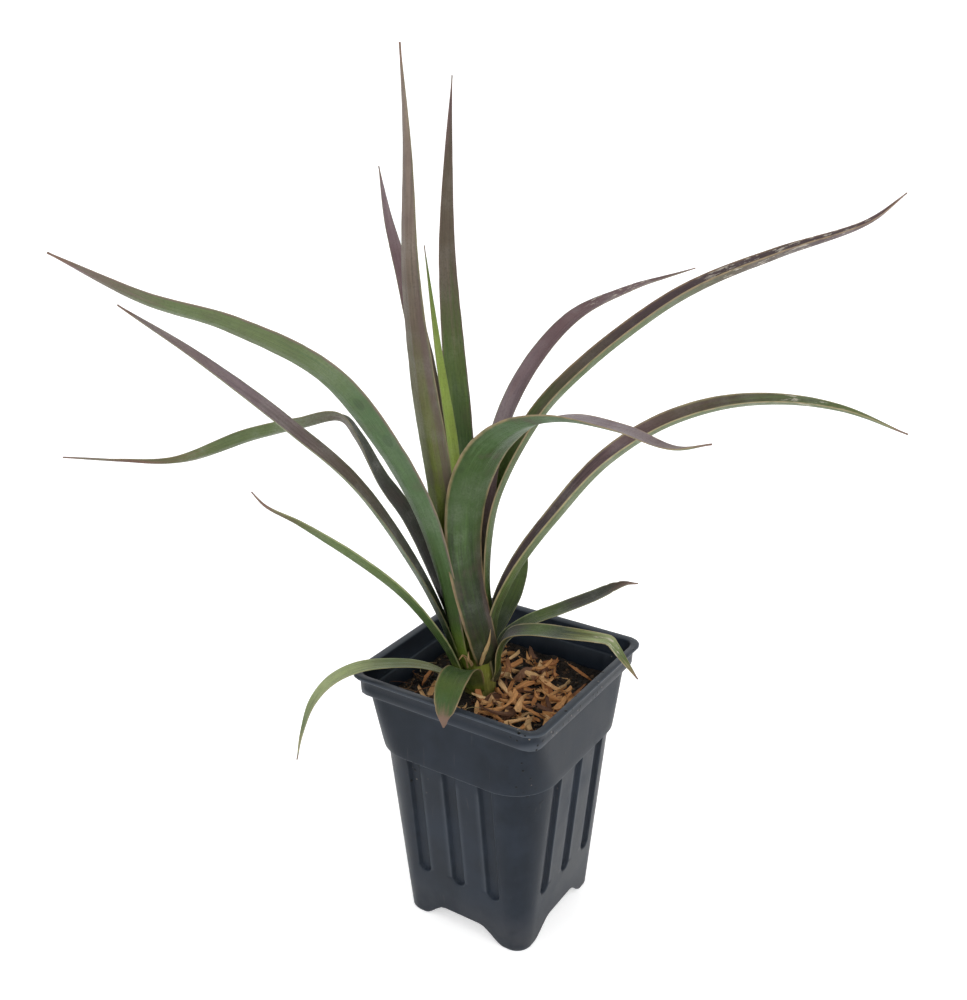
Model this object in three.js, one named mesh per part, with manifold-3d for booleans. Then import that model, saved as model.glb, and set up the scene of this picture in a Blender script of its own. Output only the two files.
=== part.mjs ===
// A young yucca growing in a square plastic nursery pot.
// Millimetres, +Z up. The origin is on the ground under the middle of the pot, and the pot's
// faces look along X and Y. Leaves and stem, soil, bark chips and pot are separate solids.
import * as THREE from 'three';
import { mergeVertices } from 'three/addons/utils/BufferGeometryUtils.js';
import Module from 'manifold-3d';

const wasm = await Module();
wasm.setup();

// ---------------------------------------------------------------- driving dimensions

const GAP = 0.35; // clearance left between pieces that touch

// Pot: half-widths of the square outline at its levels, and the radius of its corners there.
const POT_HEIGHT = 133.6;
const WALL = 1.3;
const BODY_TOP = 94.3; // the tapered body ends here, under the band
const BAND_BOTTOM = 95.4;
const SKIRT_BOTTOM = 123.3; // the wall steps out here into the skirt below the rim
const LIP_THICKNESS = 1.3;
const FOOT = { half: 33.4, radius: 8 };
const SHOULDER = { half: 43.2, radius: 20 };
const BAND_LOW = { half: 45.2, radius: 21.5 };
const BAND_HIGH = { half: 44.9, radius: 8 };
const SKIRT = { half: 47.3, radius: 6 };
const LIP = { half: 50, radius: 7.5 };
const CORNER_STEPS = 4;

// Grooves pressed into each face of the body, and the arches between the feet.
const GROOVES_PER_FACE = 3;
const GROOVE_PITCH = 19.3;
const GROOVE_WIDTH = 7.6;
const GROOVE_DEPTH = 1.9;
const GROOVE_SLOPE = 1.4; // how far each side of a groove leans in over its depth
const GROOVE_BOTTOM = 28;
const ARCH_HEIGHT = 8.5;
const ARCH_HALF = 23; // half the arch's width on the ground
const ARCH_ROOF_HALF = 10; // half of its flat roof
const DRAIN_RADIUS = 3.5;
const DRAIN_REACH = 15; // distance from the middle to the outer drain holes

// Soil, stem and chips.
const SOIL_TOP = 115.5;
const STEM_AXIS = { x: -9, y: -3 };
const STEM_PROFILE = [
  [4.5, 100], [6, 108], [7, 116], [7.2, 122], [6.2, 132], [4.8, 146], [3.6, 160], [2.4, 174],
]; // radius and height
const STEM_SIDES = 16;

// Leaves: stations along a leaf and its thickness at the midrib and at the margin.
const LEAF_STATIONS = 17;
const MIDRIB_THICKNESS = 1.5;
const MARGIN_THICKNESS = 0.5;
const WIDEST_AT = 0.4; // where along its length a blade is widest

// Each leaf leaves the stem on a compass heading (degrees from +X). Its path lists
// [distance out from the stem's axis, height, sideways shift] from base to tip.
// The blade is "width" across at its widest. "cup" is how deep its channel is as a share
// of the width. A larger "taper" keeps the blade wide for longer before its point. "twist"
// turns the blade about its midrib, in degrees at equal steps from base to tip.
const LEAVES = [
  {
    name: 'leaf_tall_left', heading: 268, width: 15, cup: 0.2, taper: 1.2, twist: [0, 0, 0, 0],
    path: [
      [4, 140, -4], [3, 150, -9], [5, 166, -12], [13, 220, -12],
      [23, 272, -12], [28, 317, -12], [27, 359, -12], [29, 399, -12],
    ],
  },
  {
    name: 'leaf_tall_right', heading: 143, width: 11.5, cup: 0.2, taper: 1.5, twist: [0, 0, 0, 0],
    path: [[5.5, 150], [9, 162], [15, 195], [22, 232], [31, 272], [37, 315], [31, 360], [25, 386]],
  },
  {
    name: 'leaf_young_spear', heading: 173, width: 7, cup: 0.3, taper: 1.5, twist: [0, 0, 0, 0],
    path: [[4, 162], [7, 176], [11, 198], [15, 234], [22, 276], [28, 319]],
  },
  {
    name: 'leaf_behind_left', heading: 158, width: 11.5, cup: 0.2, taper: 2.4, twist: [0, 0, 0, 0],
    path: [[6.5, 144], [13, 164], [28, 216], [41, 260], [55, 295], [69, 325], [75, 347]],
  },
  {
    name: 'leaf_long_left_arch', heading: 240, width: 15.5, cup: 0.16, taper: 2.8, twist: [0, 24, 38, 40],
    path: [
      [8.5, 132], [12, 147], [17, 175], [26, 208], [41, 240], [65, 275], [101, 299.5], [134, 314], [164, 333],
    ],
  },
  {
    name: 'leaf_mid_left', heading: 221, width: 13, cup: 0.22, taper: 3, twist: [0, -6, -12, -12],
    path: [[9, 127], [12, 139], [18, 157], [32, 187], [53, 221], [77, 246], [112, 278], [143, 303]],
  },
  {
    name: 'leaf_folded_left', heading: 188, width: 12, cup: 0.2, taper: 2, twist: [0, 0, 0, 30, 46, 42, 20],
    path: [
      [8, 131], [12, 145], [21, 167], [36, 197], [49, 213], [60, 232], [66, 241, 3],
      [79, 240, 16], [98, 236, 29], [122, 228, 50], [141, 230, 64], [159, 234, 80],
    ],
  },
  {
    name: 'leaf_low_left', heading: 237, width: 10.5, cup: 0.2, taper: 2.4, twist: [0, 12, 26, 24],
    path: [[9.5, 124], [13, 133], [19, 146], [38, 174], [58, 194], [81, 214], [94, 224], [99, 231]],
  },
  {
    name: 'leaf_drooping_left', heading: 233, width: 9, cup: 0.12, taper: 1.8, twist: [0, 0, -6, -10],
    path: [
      [10, 120.5], [20, 129], [30, 134], [45, 137.5], [58, 138], [70, 134], [79, 125], [85, 110], [88, 97],
    ],
  },
  {
    name: 'leaf_short_front', heading: 287, width: 14, cup: 0.12, taper: 4.2, twist: [0, 0, 0, 0],
    path: [[9.5, 121.5], [15.5, 131], [24, 139], [34, 142.5], [43, 142], [50, 137.5], [54.5, 127.5]],
  },
  {
    name: 'leaf_kinked_right', heading: 7, width: 11, cup: 0.16, taper: 2.4, twist: [20, 4, 0, 10],
    path: [
      [9, 129], [10.5, 140], [15, 147.5], [25, 151.5], [42, 153.5], [58, 155],
      [63.5, 155], [65.5, 153], [71, 146.5], [77, 139.5],
    ],
  },
  {
    name: 'leaf_small_right', heading: 53, width: 10.5, cup: 0.18, taper: 4, twist: [0, 0, 0, 0],
    path: [[8.5, 130], [13, 139.5], [24, 145.5], [40, 149], [58, 153], [73, 157], [81, 156]],
  },
  {
    name: 'leaf_broad_front', heading: 341, width: 18.5, cup: 0.17, taper: 1.9,
    twist: [-4, -6, -12, -28, -22, -12, -7, -2, 4],
    path: [
      [8.5, 139, -2], [8.5, 154, -6], [5.5, 174, -9], [3.5, 195, -10], [6, 219, -9], [17, 239, -8],
      [38, 256, -8], [64, 266, -8], [94, 269, -8], [121, 269, -8], [138, 275, -8],
    ],
  },
  {
    name: 'leaf_long_right', heading: 25, width: 13.5, cup: 0.34, taper: 2.2, twist: [3, 7, 8, 4],
    path: [
      [8, 127], [6, 140], [7, 156], [16, 178], [33, 204],
      [56, 232], [83, 251], [115, 260], [150, 258], [178, 248],
    ],
  },
  {
    name: 'leaf_upper_right', heading: 48, width: 13, cup: 0.34, taper: 3.5, twist: [0, -4, -5, -2],
    path: [
      [5.5, 148], [3, 168], [4, 192], [9, 214], [28, 248],
      [53, 271], [94, 297], [136, 311], [180, 323], [197, 334.5],
    ],
  },
  {
    name: 'leaf_purple_right', heading: 76, width: 9.8, cup: 0.24, taper: 2.2, twist: [0, 0, 8, 0],
    path: [[4, 155], [3, 172], [7, 210], [15, 241], [32, 264], [59, 282], [97, 289.5], [147, 293]],
  },
  {
    name: 'leaf_short_back', heading: 88, width: 8.5, cup: 0.18, taper: 1.8, twist: [0, 0, 0, 0],
    path: [[9, 128], [12.5, 138], [21, 145.5], [31, 153.5], [38, 165], [38, 177.5]],
  },
];

// The larger shreds of bark lying on the soil: centre, heading, length, width and lift of
// the far end.
const CHIPS = [
  { x: 12, y: -30, heading: 20, length: 17, width: 3, lift: 2 },
  { x: 20, y: -36, heading: 155, length: 14, width: 2.6, lift: 1 },
  { x: 32, y: -33, heading: 75, length: 15, width: 3, lift: 3 },
  { x: 9, y: -20, heading: 340, length: 16, width: 2.8, lift: 2 },
  { x: 22, y: -22, heading: 48, length: 18, width: 3.2, lift: 2.5 },
  { x: 35, y: -13, heading: 110, length: 16, width: 2.6, lift: 3 },
  { x: 14, y: -8, heading: 15, length: 15, width: 3, lift: 1.5 },
  { x: 27, y: -1, heading: 130, length: 14, width: 2.8, lift: 2 },
  { x: 9, y: 6, heading: 60, length: 13, width: 3.4, lift: 1.5 },
  { x: 20, y: 13, heading: 170, length: 17, width: 3, lift: 2 },
  { x: 34, y: 14, heading: 80, length: 13, width: 2.6, lift: 4 },
  { x: 8, y: 25, heading: 35, length: 14, width: 3, lift: 1.5 },
  { x: -24, y: -27, heading: 150, length: 14, width: 2.6, lift: 3 },
  { x: -34, y: -10, heading: 100, length: 12, width: 2.4, lift: 2.5 },
];
const CHIP_THICKNESS = 0.9;
const CHIP_STATIONS = 4;

// ---------------------------------------------------------------- materials

const plain = (color, roughness) => new THREE.MeshStandardMaterial({ color, roughness, metalness: 0 });
const POT_PLASTIC = plain(0x383d44, 0.45);
const SOIL = plain(0x1d1712, 0.95);
const STEM_SKIN = plain(0x8a9a3f, 0.6);
const LEAF_SKIN = plain(0x4c6a45, 0.5);
const BARK = plain(0xc08a55, 0.85);

// ---------------------------------------------------------------- solids and meshes

function solidOf(geometry) {
  const bare = geometry.clone();
  bare.deleteAttribute('normal');
  bare.deleteAttribute('uv');
  const merged = mergeVertices(bare, 1e-4);
  const vertProperties = new Float32Array(merged.attributes.position.array);
  const triVerts = new Uint32Array(merged.index.array);
  return new wasm.Manifold(new wasm.Mesh({ numProp: 3, vertProperties, triVerts }));
}

function geometryOf(solid) {
  const mesh = solid.getMesh();
  const geometry = new THREE.BufferGeometry();
  const positions = new THREE.BufferAttribute(new Float32Array(mesh.vertProperties), mesh.numProp);
  geometry.setAttribute('position', positions);
  geometry.setIndex(new THREE.BufferAttribute(new Uint32Array(mesh.triVerts), 1));
  geometry.computeVertexNormals();
  return geometry;
}

function largestBody(solid) {
  const bodies = solid.decompose();
  return bodies.reduce((best, body) => (body.volume() > best.volume() ? body : best));
}

function meshOf(name, solid, material) {
  const mesh = new THREE.Mesh(geometryOf(solid), material);
  mesh.name = name;
  return mesh;
}

// Skins a list of closed outlines, each with the same number of points, and closes both
// ends with the given triangles.
function skin(outlines, endTriangles) {
  const count = outlines[0].length;
  const positions = outlines.flat().flatMap((p) => [p.x, p.y, p.z]);
  const index = [];
  for (let ring = 0; ring < outlines.length - 1; ring += 1) {
    for (let i = 0; i < count; i += 1) {
      const a = ring * count + i;
      const b = ring * count + ((i + 1) % count);
      index.push(a, b, b + count, a, b + count, a + count);
    }
  }
  const last = (outlines.length - 1) * count;
  for (const [a, b, c] of endTriangles) {
    index.push(a, c, b);
    index.push(last + a, last + b, last + c);
  }
  const geometry = new THREE.BufferGeometry();
  geometry.setAttribute('position', new THREE.Float32BufferAttribute(positions, 3));
  geometry.setIndex(index);
  return geometry;
}

function fan(count) {
  return Array.from({ length: count - 2 }, (_, i) => [0, i + 1, i + 2]);
}

// ---------------------------------------------------------------- pot

// The outline of a square with rounded corners, level at height z.
function roundedSquare(half, radius, z) {
  const points = [];
  for (let corner = 0; corner < 4; corner += 1) {
    const start = corner * 90;
    const middle = THREE.MathUtils.degToRad(start + 45);
    const centre = (half - radius) * Math.SQRT2;
    for (let step = 0; step <= CORNER_STEPS; step += 1) {
      const angle = THREE.MathUtils.degToRad(start + (90 * step) / CORNER_STEPS);
      const x = centre * Math.cos(middle) + radius * Math.cos(angle);
      const y = centre * Math.sin(middle) + radius * Math.sin(angle);
      points.push(new THREE.Vector3(x, y, z));
    }
  }
  return points;
}

// A solid through levels of [z, { half, radius }], each drawn in by "inset".
function loft(levels, inset = 0) {
  const ringOf = ([z, { half, radius }]) => roundedSquare(half - inset, Math.max(radius - inset, 1), z);
  const outlines = levels.map(ringOf);
  return solidOf(skin(outlines, fan(outlines[0].length)));
}

function potOutside() {
  const edge = LIP_THICKNESS / 3;
  return loft([
    [0, { half: FOOT.half - 0.7, radius: FOOT.radius - 0.7 }],
    [0.8, FOOT],
    [BODY_TOP, SHOULDER],
    [BAND_BOTTOM, BAND_LOW],
    [SKIRT_BOTTOM, BAND_HIGH],
    [SKIRT_BOTTOM + 0.8, SKIRT],
    [POT_HEIGHT - LIP_THICKNESS - 0.3, { half: SKIRT.half + 0.3, radius: SKIRT.radius }],
    [POT_HEIGHT - LIP_THICKNESS, { half: LIP.half - 0.5, radius: LIP.radius }],
    [POT_HEIGHT - 2 * edge, LIP],
    [POT_HEIGHT - edge, LIP],
    [POT_HEIGHT, { half: LIP.half - 0.5, radius: LIP.radius - 0.5 }],
  ]);
}

// The room inside the walls, drawn in by "clear" and filled up to the height "top".
function potInside(clear, top) {
  const levels = [
    [WALL + clear, FOOT],
    [BODY_TOP + 0.4, SHOULDER],
    [BAND_BOTTOM + 1, BAND_LOW],
    [SKIRT_BOTTOM + WALL, BAND_HIGH],
    [SKIRT_BOTTOM + WALL + 0.8, SKIRT],
    [POT_HEIGHT - 0.8, { half: SKIRT.half + 0.2, radius: SKIRT.radius }],
    [POT_HEIGHT + 1, { half: SKIRT.half + 1.6, radius: SKIRT.radius + 1.2 }],
  ];
  const whole = loft(levels, WALL + clear);
  return whole.trimByPlane([0, 0, -1], -top);
}

// One groove as a solid block let into the face at y = -half, grown by "grow" on each side.
function groove(across, grow) {
  const floorHalf = GROOVE_WIDTH / 2 - GROOVE_SLOPE;
  const halfWidth = floorHalf + grow;
  const endCentre = GROOVE_BOTTOM + GROOVE_WIDTH / 2;
  const shape = new THREE.Shape();
  shape.moveTo(halfWidth, BODY_TOP + 8);
  shape.lineTo(-halfWidth, BODY_TOP + 8);
  shape.lineTo(-halfWidth, endCentre);
  shape.absarc(0, endCentre, halfWidth, Math.PI, 2 * Math.PI, false);
  const block = new THREE.ExtrudeGeometry(shape, {
    depth: 2,
    curveSegments: 4,
    bevelEnabled: true,
    bevelThickness: GROOVE_DEPTH,
    bevelSize: GROOVE_SLOPE,
    bevelSegments: 1,
  });
  // The block's inner end is its bevelled side. It is tipped to follow the leaning wall.
  block.translate(0, 0, -2);
  const lean = Math.atan2(SHOULDER.half - FOOT.half, BODY_TOP);
  block.rotateX(Math.PI / 2);
  block.rotateZ(Math.PI);
  block.rotateX(lean);
  block.translate(across, -FOOT.half + grow, 0);
  return solidOf(block).trimByPlane([0, 0, -1], -(BODY_TOP + grow));
}

function allGrooves(grow) {
  const blocks = [];
  for (let face = 0; face < 4; face += 1) {
    for (let i = 0; i < GROOVES_PER_FACE; i += 1) {
      const across = (i - (GROOVES_PER_FACE - 1) / 2) * GROOVE_PITCH;
      blocks.push(groove(across, grow).rotate([0, 0, 90 * face]));
    }
  }
  return wasm.Manifold.union(blocks);
}

// The two arched tunnels under the floor, which cross in the middle and leave four feet.
function archTunnels(grow) {
  const low = ARCH_HALF + grow;
  const high = ARCH_ROOF_HALF + grow;
  const roof = ARCH_HEIGHT + grow;
  const ease = (low - high) / 2;
  const shape = new THREE.Shape();
  shape.moveTo(-low, -5);
  shape.lineTo(-low, 0);
  shape.bezierCurveTo(-low + ease, 0, -high - ease, roof, -high, roof);
  shape.lineTo(high, roof);
  shape.bezierCurveTo(high + ease, roof, low - ease, 0, low, 0);
  shape.lineTo(low, -5);
  const length = 3 * FOOT.half;
  const tunnel = new THREE.ExtrudeGeometry(shape, { depth: length, curveSegments: 5, bevelEnabled: false });
  tunnel.translate(0, 0, -length / 2);
  tunnel.rotateX(Math.PI / 2);
  const along = solidOf(tunnel);
  return along.add(along.rotate([0, 0, 90]));
}

function drainHoles() {
  const spots = [[0, 0], [DRAIN_REACH, 0], [-DRAIN_REACH, 0], [0, DRAIN_REACH], [0, -DRAIN_REACH]];
  const holes = spots.map(([x, y]) => {
    const pin = new THREE.CylinderGeometry(DRAIN_RADIUS, DRAIN_RADIUS, 6, 12);
    pin.rotateX(Math.PI / 2);
    pin.translate(x, y, ARCH_HEIGHT);
    return solidOf(pin);
  });
  return wasm.Manifold.union(holes);
}

function nurseryPot() {
  const outside = potOutside().subtract(archTunnels(0)).subtract(allGrooves(0));
  const room = potInside(0, POT_HEIGHT + 1).subtract(archTunnels(WALL)).subtract(allGrooves(WALL));
  return outside.subtract(room).subtract(drainHoles());
}

// ---------------------------------------------------------------- soil and stem

function stemSolid(grow = 0) {
  const profile = STEM_PROFILE.map(([radius, z]) => new THREE.Vector2(radius + grow, z));
  const bottom = profile[0].y - grow;
  const top = profile[profile.length - 1].y + grow;
  profile[0].y = bottom;
  profile[profile.length - 1].y = top;
  const outline = [new THREE.Vector2(0, bottom), ...profile, new THREE.Vector2(0, top)];
  const geometry = new THREE.LatheGeometry(outline, STEM_SIDES);
  geometry.rotateX(Math.PI / 2);
  geometry.translate(STEM_AXIS.x, STEM_AXIS.y, 0);
  return solidOf(geometry);
}

function pottingSoil() {
  return potInside(GAP, SOIL_TOP)
    .subtract(archTunnels(WALL + GAP))
    .subtract(allGrooves(WALL + GAP))
    .subtract(stemSolid(GAP));
}

// ---------------------------------------------------------------- leaves

// A leaf's half-width at t, from 0 at the base to 1 at the tip, as a share of its width: a
// narrower clasping base, the widest part before the middle, and a taper to a point.
function halfWidthAt(t, taper) {
  const base = 0.72 + 0.28 * Math.sin((Math.PI / 2) * Math.min(t / WIDEST_AT, 1));
  const point = t < WIDEST_AT ? 1 : 1 - ((t - WIDEST_AT) / (1 - WIDEST_AT)) ** taper;
  return (base * Math.max(point, 0.04)) / 2;
}

function valueAlong(values, t) {
  const at = t * (values.length - 1);
  const i = Math.min(Math.floor(at), values.length - 2);
  return THREE.MathUtils.lerp(values[i], values[i + 1], at - i);
}

// The blade swept along its midrib. Its section is a shallow channel, open towards the
// side that faces up and in to the stem. "grow" makes it larger all round.
function leafSolid(leaf, grow = 0) {
  const heading = THREE.MathUtils.degToRad(leaf.heading);
  const out = new THREE.Vector3(Math.cos(heading), Math.sin(heading), 0);
  const side = new THREE.Vector3(-out.y, out.x, 0);
  const place = ([reach, height, shift = 0]) => new THREE.Vector3(STEM_AXIS.x, STEM_AXIS.y, height)
    .addScaledVector(out, reach)
    .addScaledVector(side, shift);
  const midrib = new THREE.CatmullRomCurve3(leaf.path.map(place), false, 'centripetal');
  const outlines = [];
  for (let i = 0; i < LEAF_STATIONS; i += 1) {
    const t = i / (LEAF_STATIONS - 1);
    const centre = midrib.getPointAt(t);
    const along = midrib.getTangentAt(t);
    const across = side.clone().addScaledVector(along, -side.dot(along)).normalize();
    const turn = THREE.MathUtils.degToRad(valueAlong(leaf.twist, t));
    across.applyAxisAngle(along, turn);
    const inward = new THREE.Vector3().crossVectors(along, across);
    const half = leaf.width * halfWidthAt(t, leaf.taper);
    const depth = 2 * half * leaf.cup;
    const rib = (MIDRIB_THICKNESS * (1 - 0.6 * t)) / 2 + grow;
    const rim = MARGIN_THICKNESS / 2 + grow;
    const at = (u, v) => centre.clone().addScaledVector(across, u).addScaledVector(inward, v - depth / 2);
    outlines.push([
      at(half + grow, depth + rim),
      at(0, rib),
      at(-half - grow, depth + rim),
      at(-half - grow, depth - rim),
      at(0, -rib),
      at(half + grow, depth - rim),
    ]);
  }
  if (grow > 0) {
    const past = (outline, t, by) => {
      const step = midrib.getTangentAt(t).multiplyScalar(by);
      return outline.map((point) => point.clone().add(step));
    };
    outlines.unshift(past(outlines[0], 0, -grow));
    outlines.push(past(outlines[outlines.length - 1], 1, grow));
  }
  const ends = [[0, 1, 4], [0, 4, 5], [1, 2, 3], [1, 3, 4]];
  return solidOf(skin(outlines, ends));
}

// Leaves crowd together where they clasp the stem, so each one is trimmed back from the
// stem and from the leaves already placed that it meets.
function leafSolids() {
  const placed = [];
  const core = stemSolid(GAP);
  for (const leaf of LEAVES) {
    let solid = leafSolid(leaf).subtract(core);
    for (const other of placed) {
      const blocked = solid.intersect(other.grown).isEmpty() === false;
      solid = blocked ? solid.subtract(other.grown) : solid;
    }
    placed.push({ name: leaf.name, solid: largestBody(solid), grown: leafSolid(leaf, GAP) });
  }
  return placed;
}

// ---------------------------------------------------------------- bark chips

// A thin shred with a slight arch along its length, lying just above the soil.
function chipSolid(chip) {
  const heading = THREE.MathUtils.degToRad(chip.heading);
  const along = new THREE.Vector3(Math.cos(heading), Math.sin(heading), 0);
  const across = new THREE.Vector3(-along.y, along.x, 0);
  const outlines = [];
  for (let i = 0; i < CHIP_STATIONS; i += 1) {
    const t = i / (CHIP_STATIONS - 1);
    const half = (chip.width / 2) * (0.45 + 0.55 * Math.sin(Math.PI * (0.15 + 0.7 * t)));
    const low = SOIL_TOP + GAP + chip.lift * t * t;
    const corner = (u, z) => new THREE.Vector3(chip.x, chip.y, z)
      .addScaledVector(along, (t - 0.5) * chip.length)
      .addScaledVector(across, u);
    outlines.push([
      corner(half, low),
      corner(half * 0.6, low + CHIP_THICKNESS),
      corner(-half * 0.6, low + CHIP_THICKNESS),
      corner(-half, low),
    ]);
  }
  return solidOf(skin(outlines, fan(4)));
}

// ---------------------------------------------------------------- the whole plant

const group = new THREE.Group();
group.add(meshOf('nursery_pot', nurseryPot(), POT_PLASTIC));
group.add(meshOf('potting_soil', pottingSoil(), SOIL));
group.add(meshOf('stem', stemSolid(), STEM_SKIN));
for (const { name, solid } of leafSolids()) {
  group.add(meshOf(name, solid, LEAF_SKIN));
}
CHIPS.forEach((chip, i) => {
  const name = `bark_chip_${String(i + 1).padStart(2, '0')}`;
  group.add(meshOf(name, chipSolid(chip), BARK));
});

export default group;
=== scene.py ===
"""A young yucca in a square nursery pot, laid out as a Blender add-on and run as a script.

Lengths in the settings are metres. Leaf paths and the pot's outline are given in
millimetres, which MM turns into metres. The pot, the soil, the stem, the leaves and the larger
shreds each stand for one part of the loaded frame, and the litter and dry sheaths are added.
"""
import math

import bmesh
import bpy
import numpy as np
from mathutils import Matrix, Vector, noise


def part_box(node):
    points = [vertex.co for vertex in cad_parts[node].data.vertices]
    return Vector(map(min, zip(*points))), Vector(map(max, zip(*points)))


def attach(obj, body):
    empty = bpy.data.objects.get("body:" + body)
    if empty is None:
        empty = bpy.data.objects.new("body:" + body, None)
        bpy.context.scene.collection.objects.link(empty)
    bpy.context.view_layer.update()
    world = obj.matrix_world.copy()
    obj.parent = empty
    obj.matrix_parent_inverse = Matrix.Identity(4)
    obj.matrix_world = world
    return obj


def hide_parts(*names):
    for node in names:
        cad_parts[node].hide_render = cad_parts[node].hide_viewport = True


bl_info = {
    "name": "Potted yucca",
    "version": (1, 0, 0),
    "blender": (4, 5, 0),
    "location": "View3D > Sidebar > Yucca",
    "description": "Builds a young yucca in a square nursery pot, piece by piece",
    "category": "Add Mesh",
}

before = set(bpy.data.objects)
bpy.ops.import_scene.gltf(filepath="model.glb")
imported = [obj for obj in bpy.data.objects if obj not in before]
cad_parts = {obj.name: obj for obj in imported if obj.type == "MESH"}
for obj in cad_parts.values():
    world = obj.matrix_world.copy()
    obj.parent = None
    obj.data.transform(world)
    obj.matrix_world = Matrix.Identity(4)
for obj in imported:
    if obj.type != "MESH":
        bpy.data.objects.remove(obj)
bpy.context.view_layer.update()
MM = 0.001

POT_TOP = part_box("nursery_pot")[1][2]
SOIL_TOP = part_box("potting_soil")[1][2]
STEM_LOW, STEM_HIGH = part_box("stem")
STEM_AXIS = (np.array(STEM_LOW) + np.array(STEM_HIGH))[:2] / 2
CHIP_NODES = sorted(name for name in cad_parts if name.startswith("bark_chip"))

# ------------------------------------------------------------------ colours

# Plain names for the plant's and the potting mix's colours, as sRGB values from 0 to 255.
COLOURS = {
    "forest": (38, 52, 20),
    "deep green": (54, 78, 32),
    "moss": (76, 94, 42),
    "olive": (98, 104, 56),
    "spring": (140, 160, 72),
    "fresh": (112, 130, 44),
    "blue green": (70, 94, 58),
    "grey green": (88, 102, 62),
    "pale green": (142, 152, 106),
    "plum": (104, 82, 84),
    "mauve": (122, 106, 110),
    "dark plum": (72, 58, 60),
    "taupe": (86, 76, 62),
    "warm grey": (112, 98, 88),
    "slate": (58, 60, 50),
    "soot": (38, 38, 32),
    "straw": (166, 152, 112),
    "dry tan": (148, 124, 92),
    "rust": (100, 70, 56),
    "bark brown": (104, 62, 38),
    "soil": (21, 18, 15),
    "soil light": (50, 39, 30),
}


def linear(colour):
    """The linear RGBA of a colour's name or of its sRGB values from 0 to 255."""
    values = COLOURS[colour] if isinstance(colour, str) else colour
    channels = [v / 255 for v in values]
    return (*[c / 12.92 if c <= 0.04045 else ((c + 0.055) / 1.055) ** 2.4 for c in channels], 1.0)


# ------------------------------------------------------------------ node helpers


def add_node(tree, kind, inputs=None, **attributes):
    """Adds a node. Each input is a value or an output socket to link from."""
    node = tree.nodes.new(kind)
    for name, value in attributes.items():
        setattr(node, name, value)
    for key, value in (inputs or {}).items():
        if isinstance(value, bpy.types.NodeSocket):
            tree.links.new(value, node.inputs[key])
        else:
            node.inputs[key].default_value = value
    return node


def calculate(tree, operation, *values, clamp=False):
    """The output of a Math node of either kind of tree."""
    inputs = dict(enumerate(values))
    return add_node(tree, "ShaderNodeMath", inputs, operation=operation, use_clamp=clamp).outputs[0]


def spread(tree, value, low, high, to_low=0.0, to_high=1.0):
    """value from low..high moved smoothly to to_low..to_high, and held beyond the ends."""
    inputs = {"Value": value, "From Min": low, "From Max": high, "To Min": to_low, "To Max": to_high}
    return add_node(tree, "ShaderNodeMapRange", inputs, interpolation_type="SMOOTHSTEP").outputs[0]


def blend(tree, share, first, second, kind="MIX"):
    """first and second mixed as colours."""
    node = add_node(tree, "ShaderNodeMix", data_type="RGBA", blend_type=kind)
    for index, value in ((0, share), (6, first), (7, second)):
        if isinstance(value, bpy.types.NodeSocket):
            tree.links.new(value, node.inputs[index])
        else:
            node.inputs[index].default_value = value
    return node.outputs[2]


def ramp(tree, value, stops):
    """A colour ramp of (position, colour) stops."""
    node = add_node(tree, "ShaderNodeValToRGB", {"Fac": value})
    elements = node.color_ramp.elements
    while len(elements) < len(stops):
        elements.new(0.5)
    for element, (position, colour) in zip(elements, stops):
        element.position = position
        element.color = linear(colour)
    return node.outputs["Color"]


def noise_of(tree, coordinates, scale, detail=2.0, roughness=0.5):
    """A noise texture's value."""
    inputs = {"Vector": coordinates, "Scale": scale, "Detail": detail, "Roughness": roughness}
    return add_node(tree, "ShaderNodeTexNoise", inputs).outputs["Fac"]


def stretched(tree, coordinates, scale):
    """Coordinates scaled by a vector, so that a pattern is drawn out along one way."""
    return add_node(tree, "ShaderNodeMapping", {"Vector": coordinates, "Scale": scale}).outputs["Vector"]


def object_place(tree):
    """Object coordinates: a place in the frame, in metres."""
    return add_node(tree, "ShaderNodeTexCoord").outputs["Object"]


def stored_value(tree, name):
    """The number that the mesh stores under a name."""
    return add_node(tree, "ShaderNodeAttribute", attribute_name=name).outputs["Fac"]


def new_material(name, **sockets):
    """A node material, its tree and its Principled shader with constant sockets set."""
    material = bpy.data.materials.new(name)
    material.use_nodes = True
    shader = material.node_tree.nodes["Principled BSDF"]
    for key, value in sockets.items():
        shader.inputs[key.replace("_", " ")].default_value = value
    return material, material.node_tree, shader


def finish_material(tree, shader, colour, roughness, height, depth):
    """Links colour, roughness and a bump of that depth in metres."""
    bump = add_node(tree, "ShaderNodeBump", {"Height": height, "Strength": 1.0, "Distance": depth})
    tree.links.new(colour, shader.inputs["Base Color"])
    tree.links.new(roughness, shader.inputs["Roughness"])
    tree.links.new(bump.outputs["Normal"], shader.inputs["Normal"])


# ------------------------------------------------------------------ mesh helpers


def mesh_object(name, vertices, faces, sharp_degrees=50.0):
    """An object at the origin with smooth faces and edges sharp past an angle."""
    mesh = bpy.data.meshes.new(name)
    mesh.from_pydata([tuple(v) for v in vertices], [], faces)
    mesh.validate()
    mesh.shade_smooth()
    mesh.set_sharp_from_angle(angle=math.radians(sharp_degrees))
    built = bpy.data.objects.new(name, mesh)
    bpy.context.scene.collection.objects.link(built)
    return built


def ring_faces(rows, columns):
    """Quads between successive closed rings of points, numbered row by row."""
    faces = []
    for row in range(rows - 1):
        for column in range(columns):
            following = (column + 1) % columns
            low, high = row * columns, (row + 1) * columns
            faces.append((low + column, low + following, high + following, high + column))
    return faces


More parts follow.
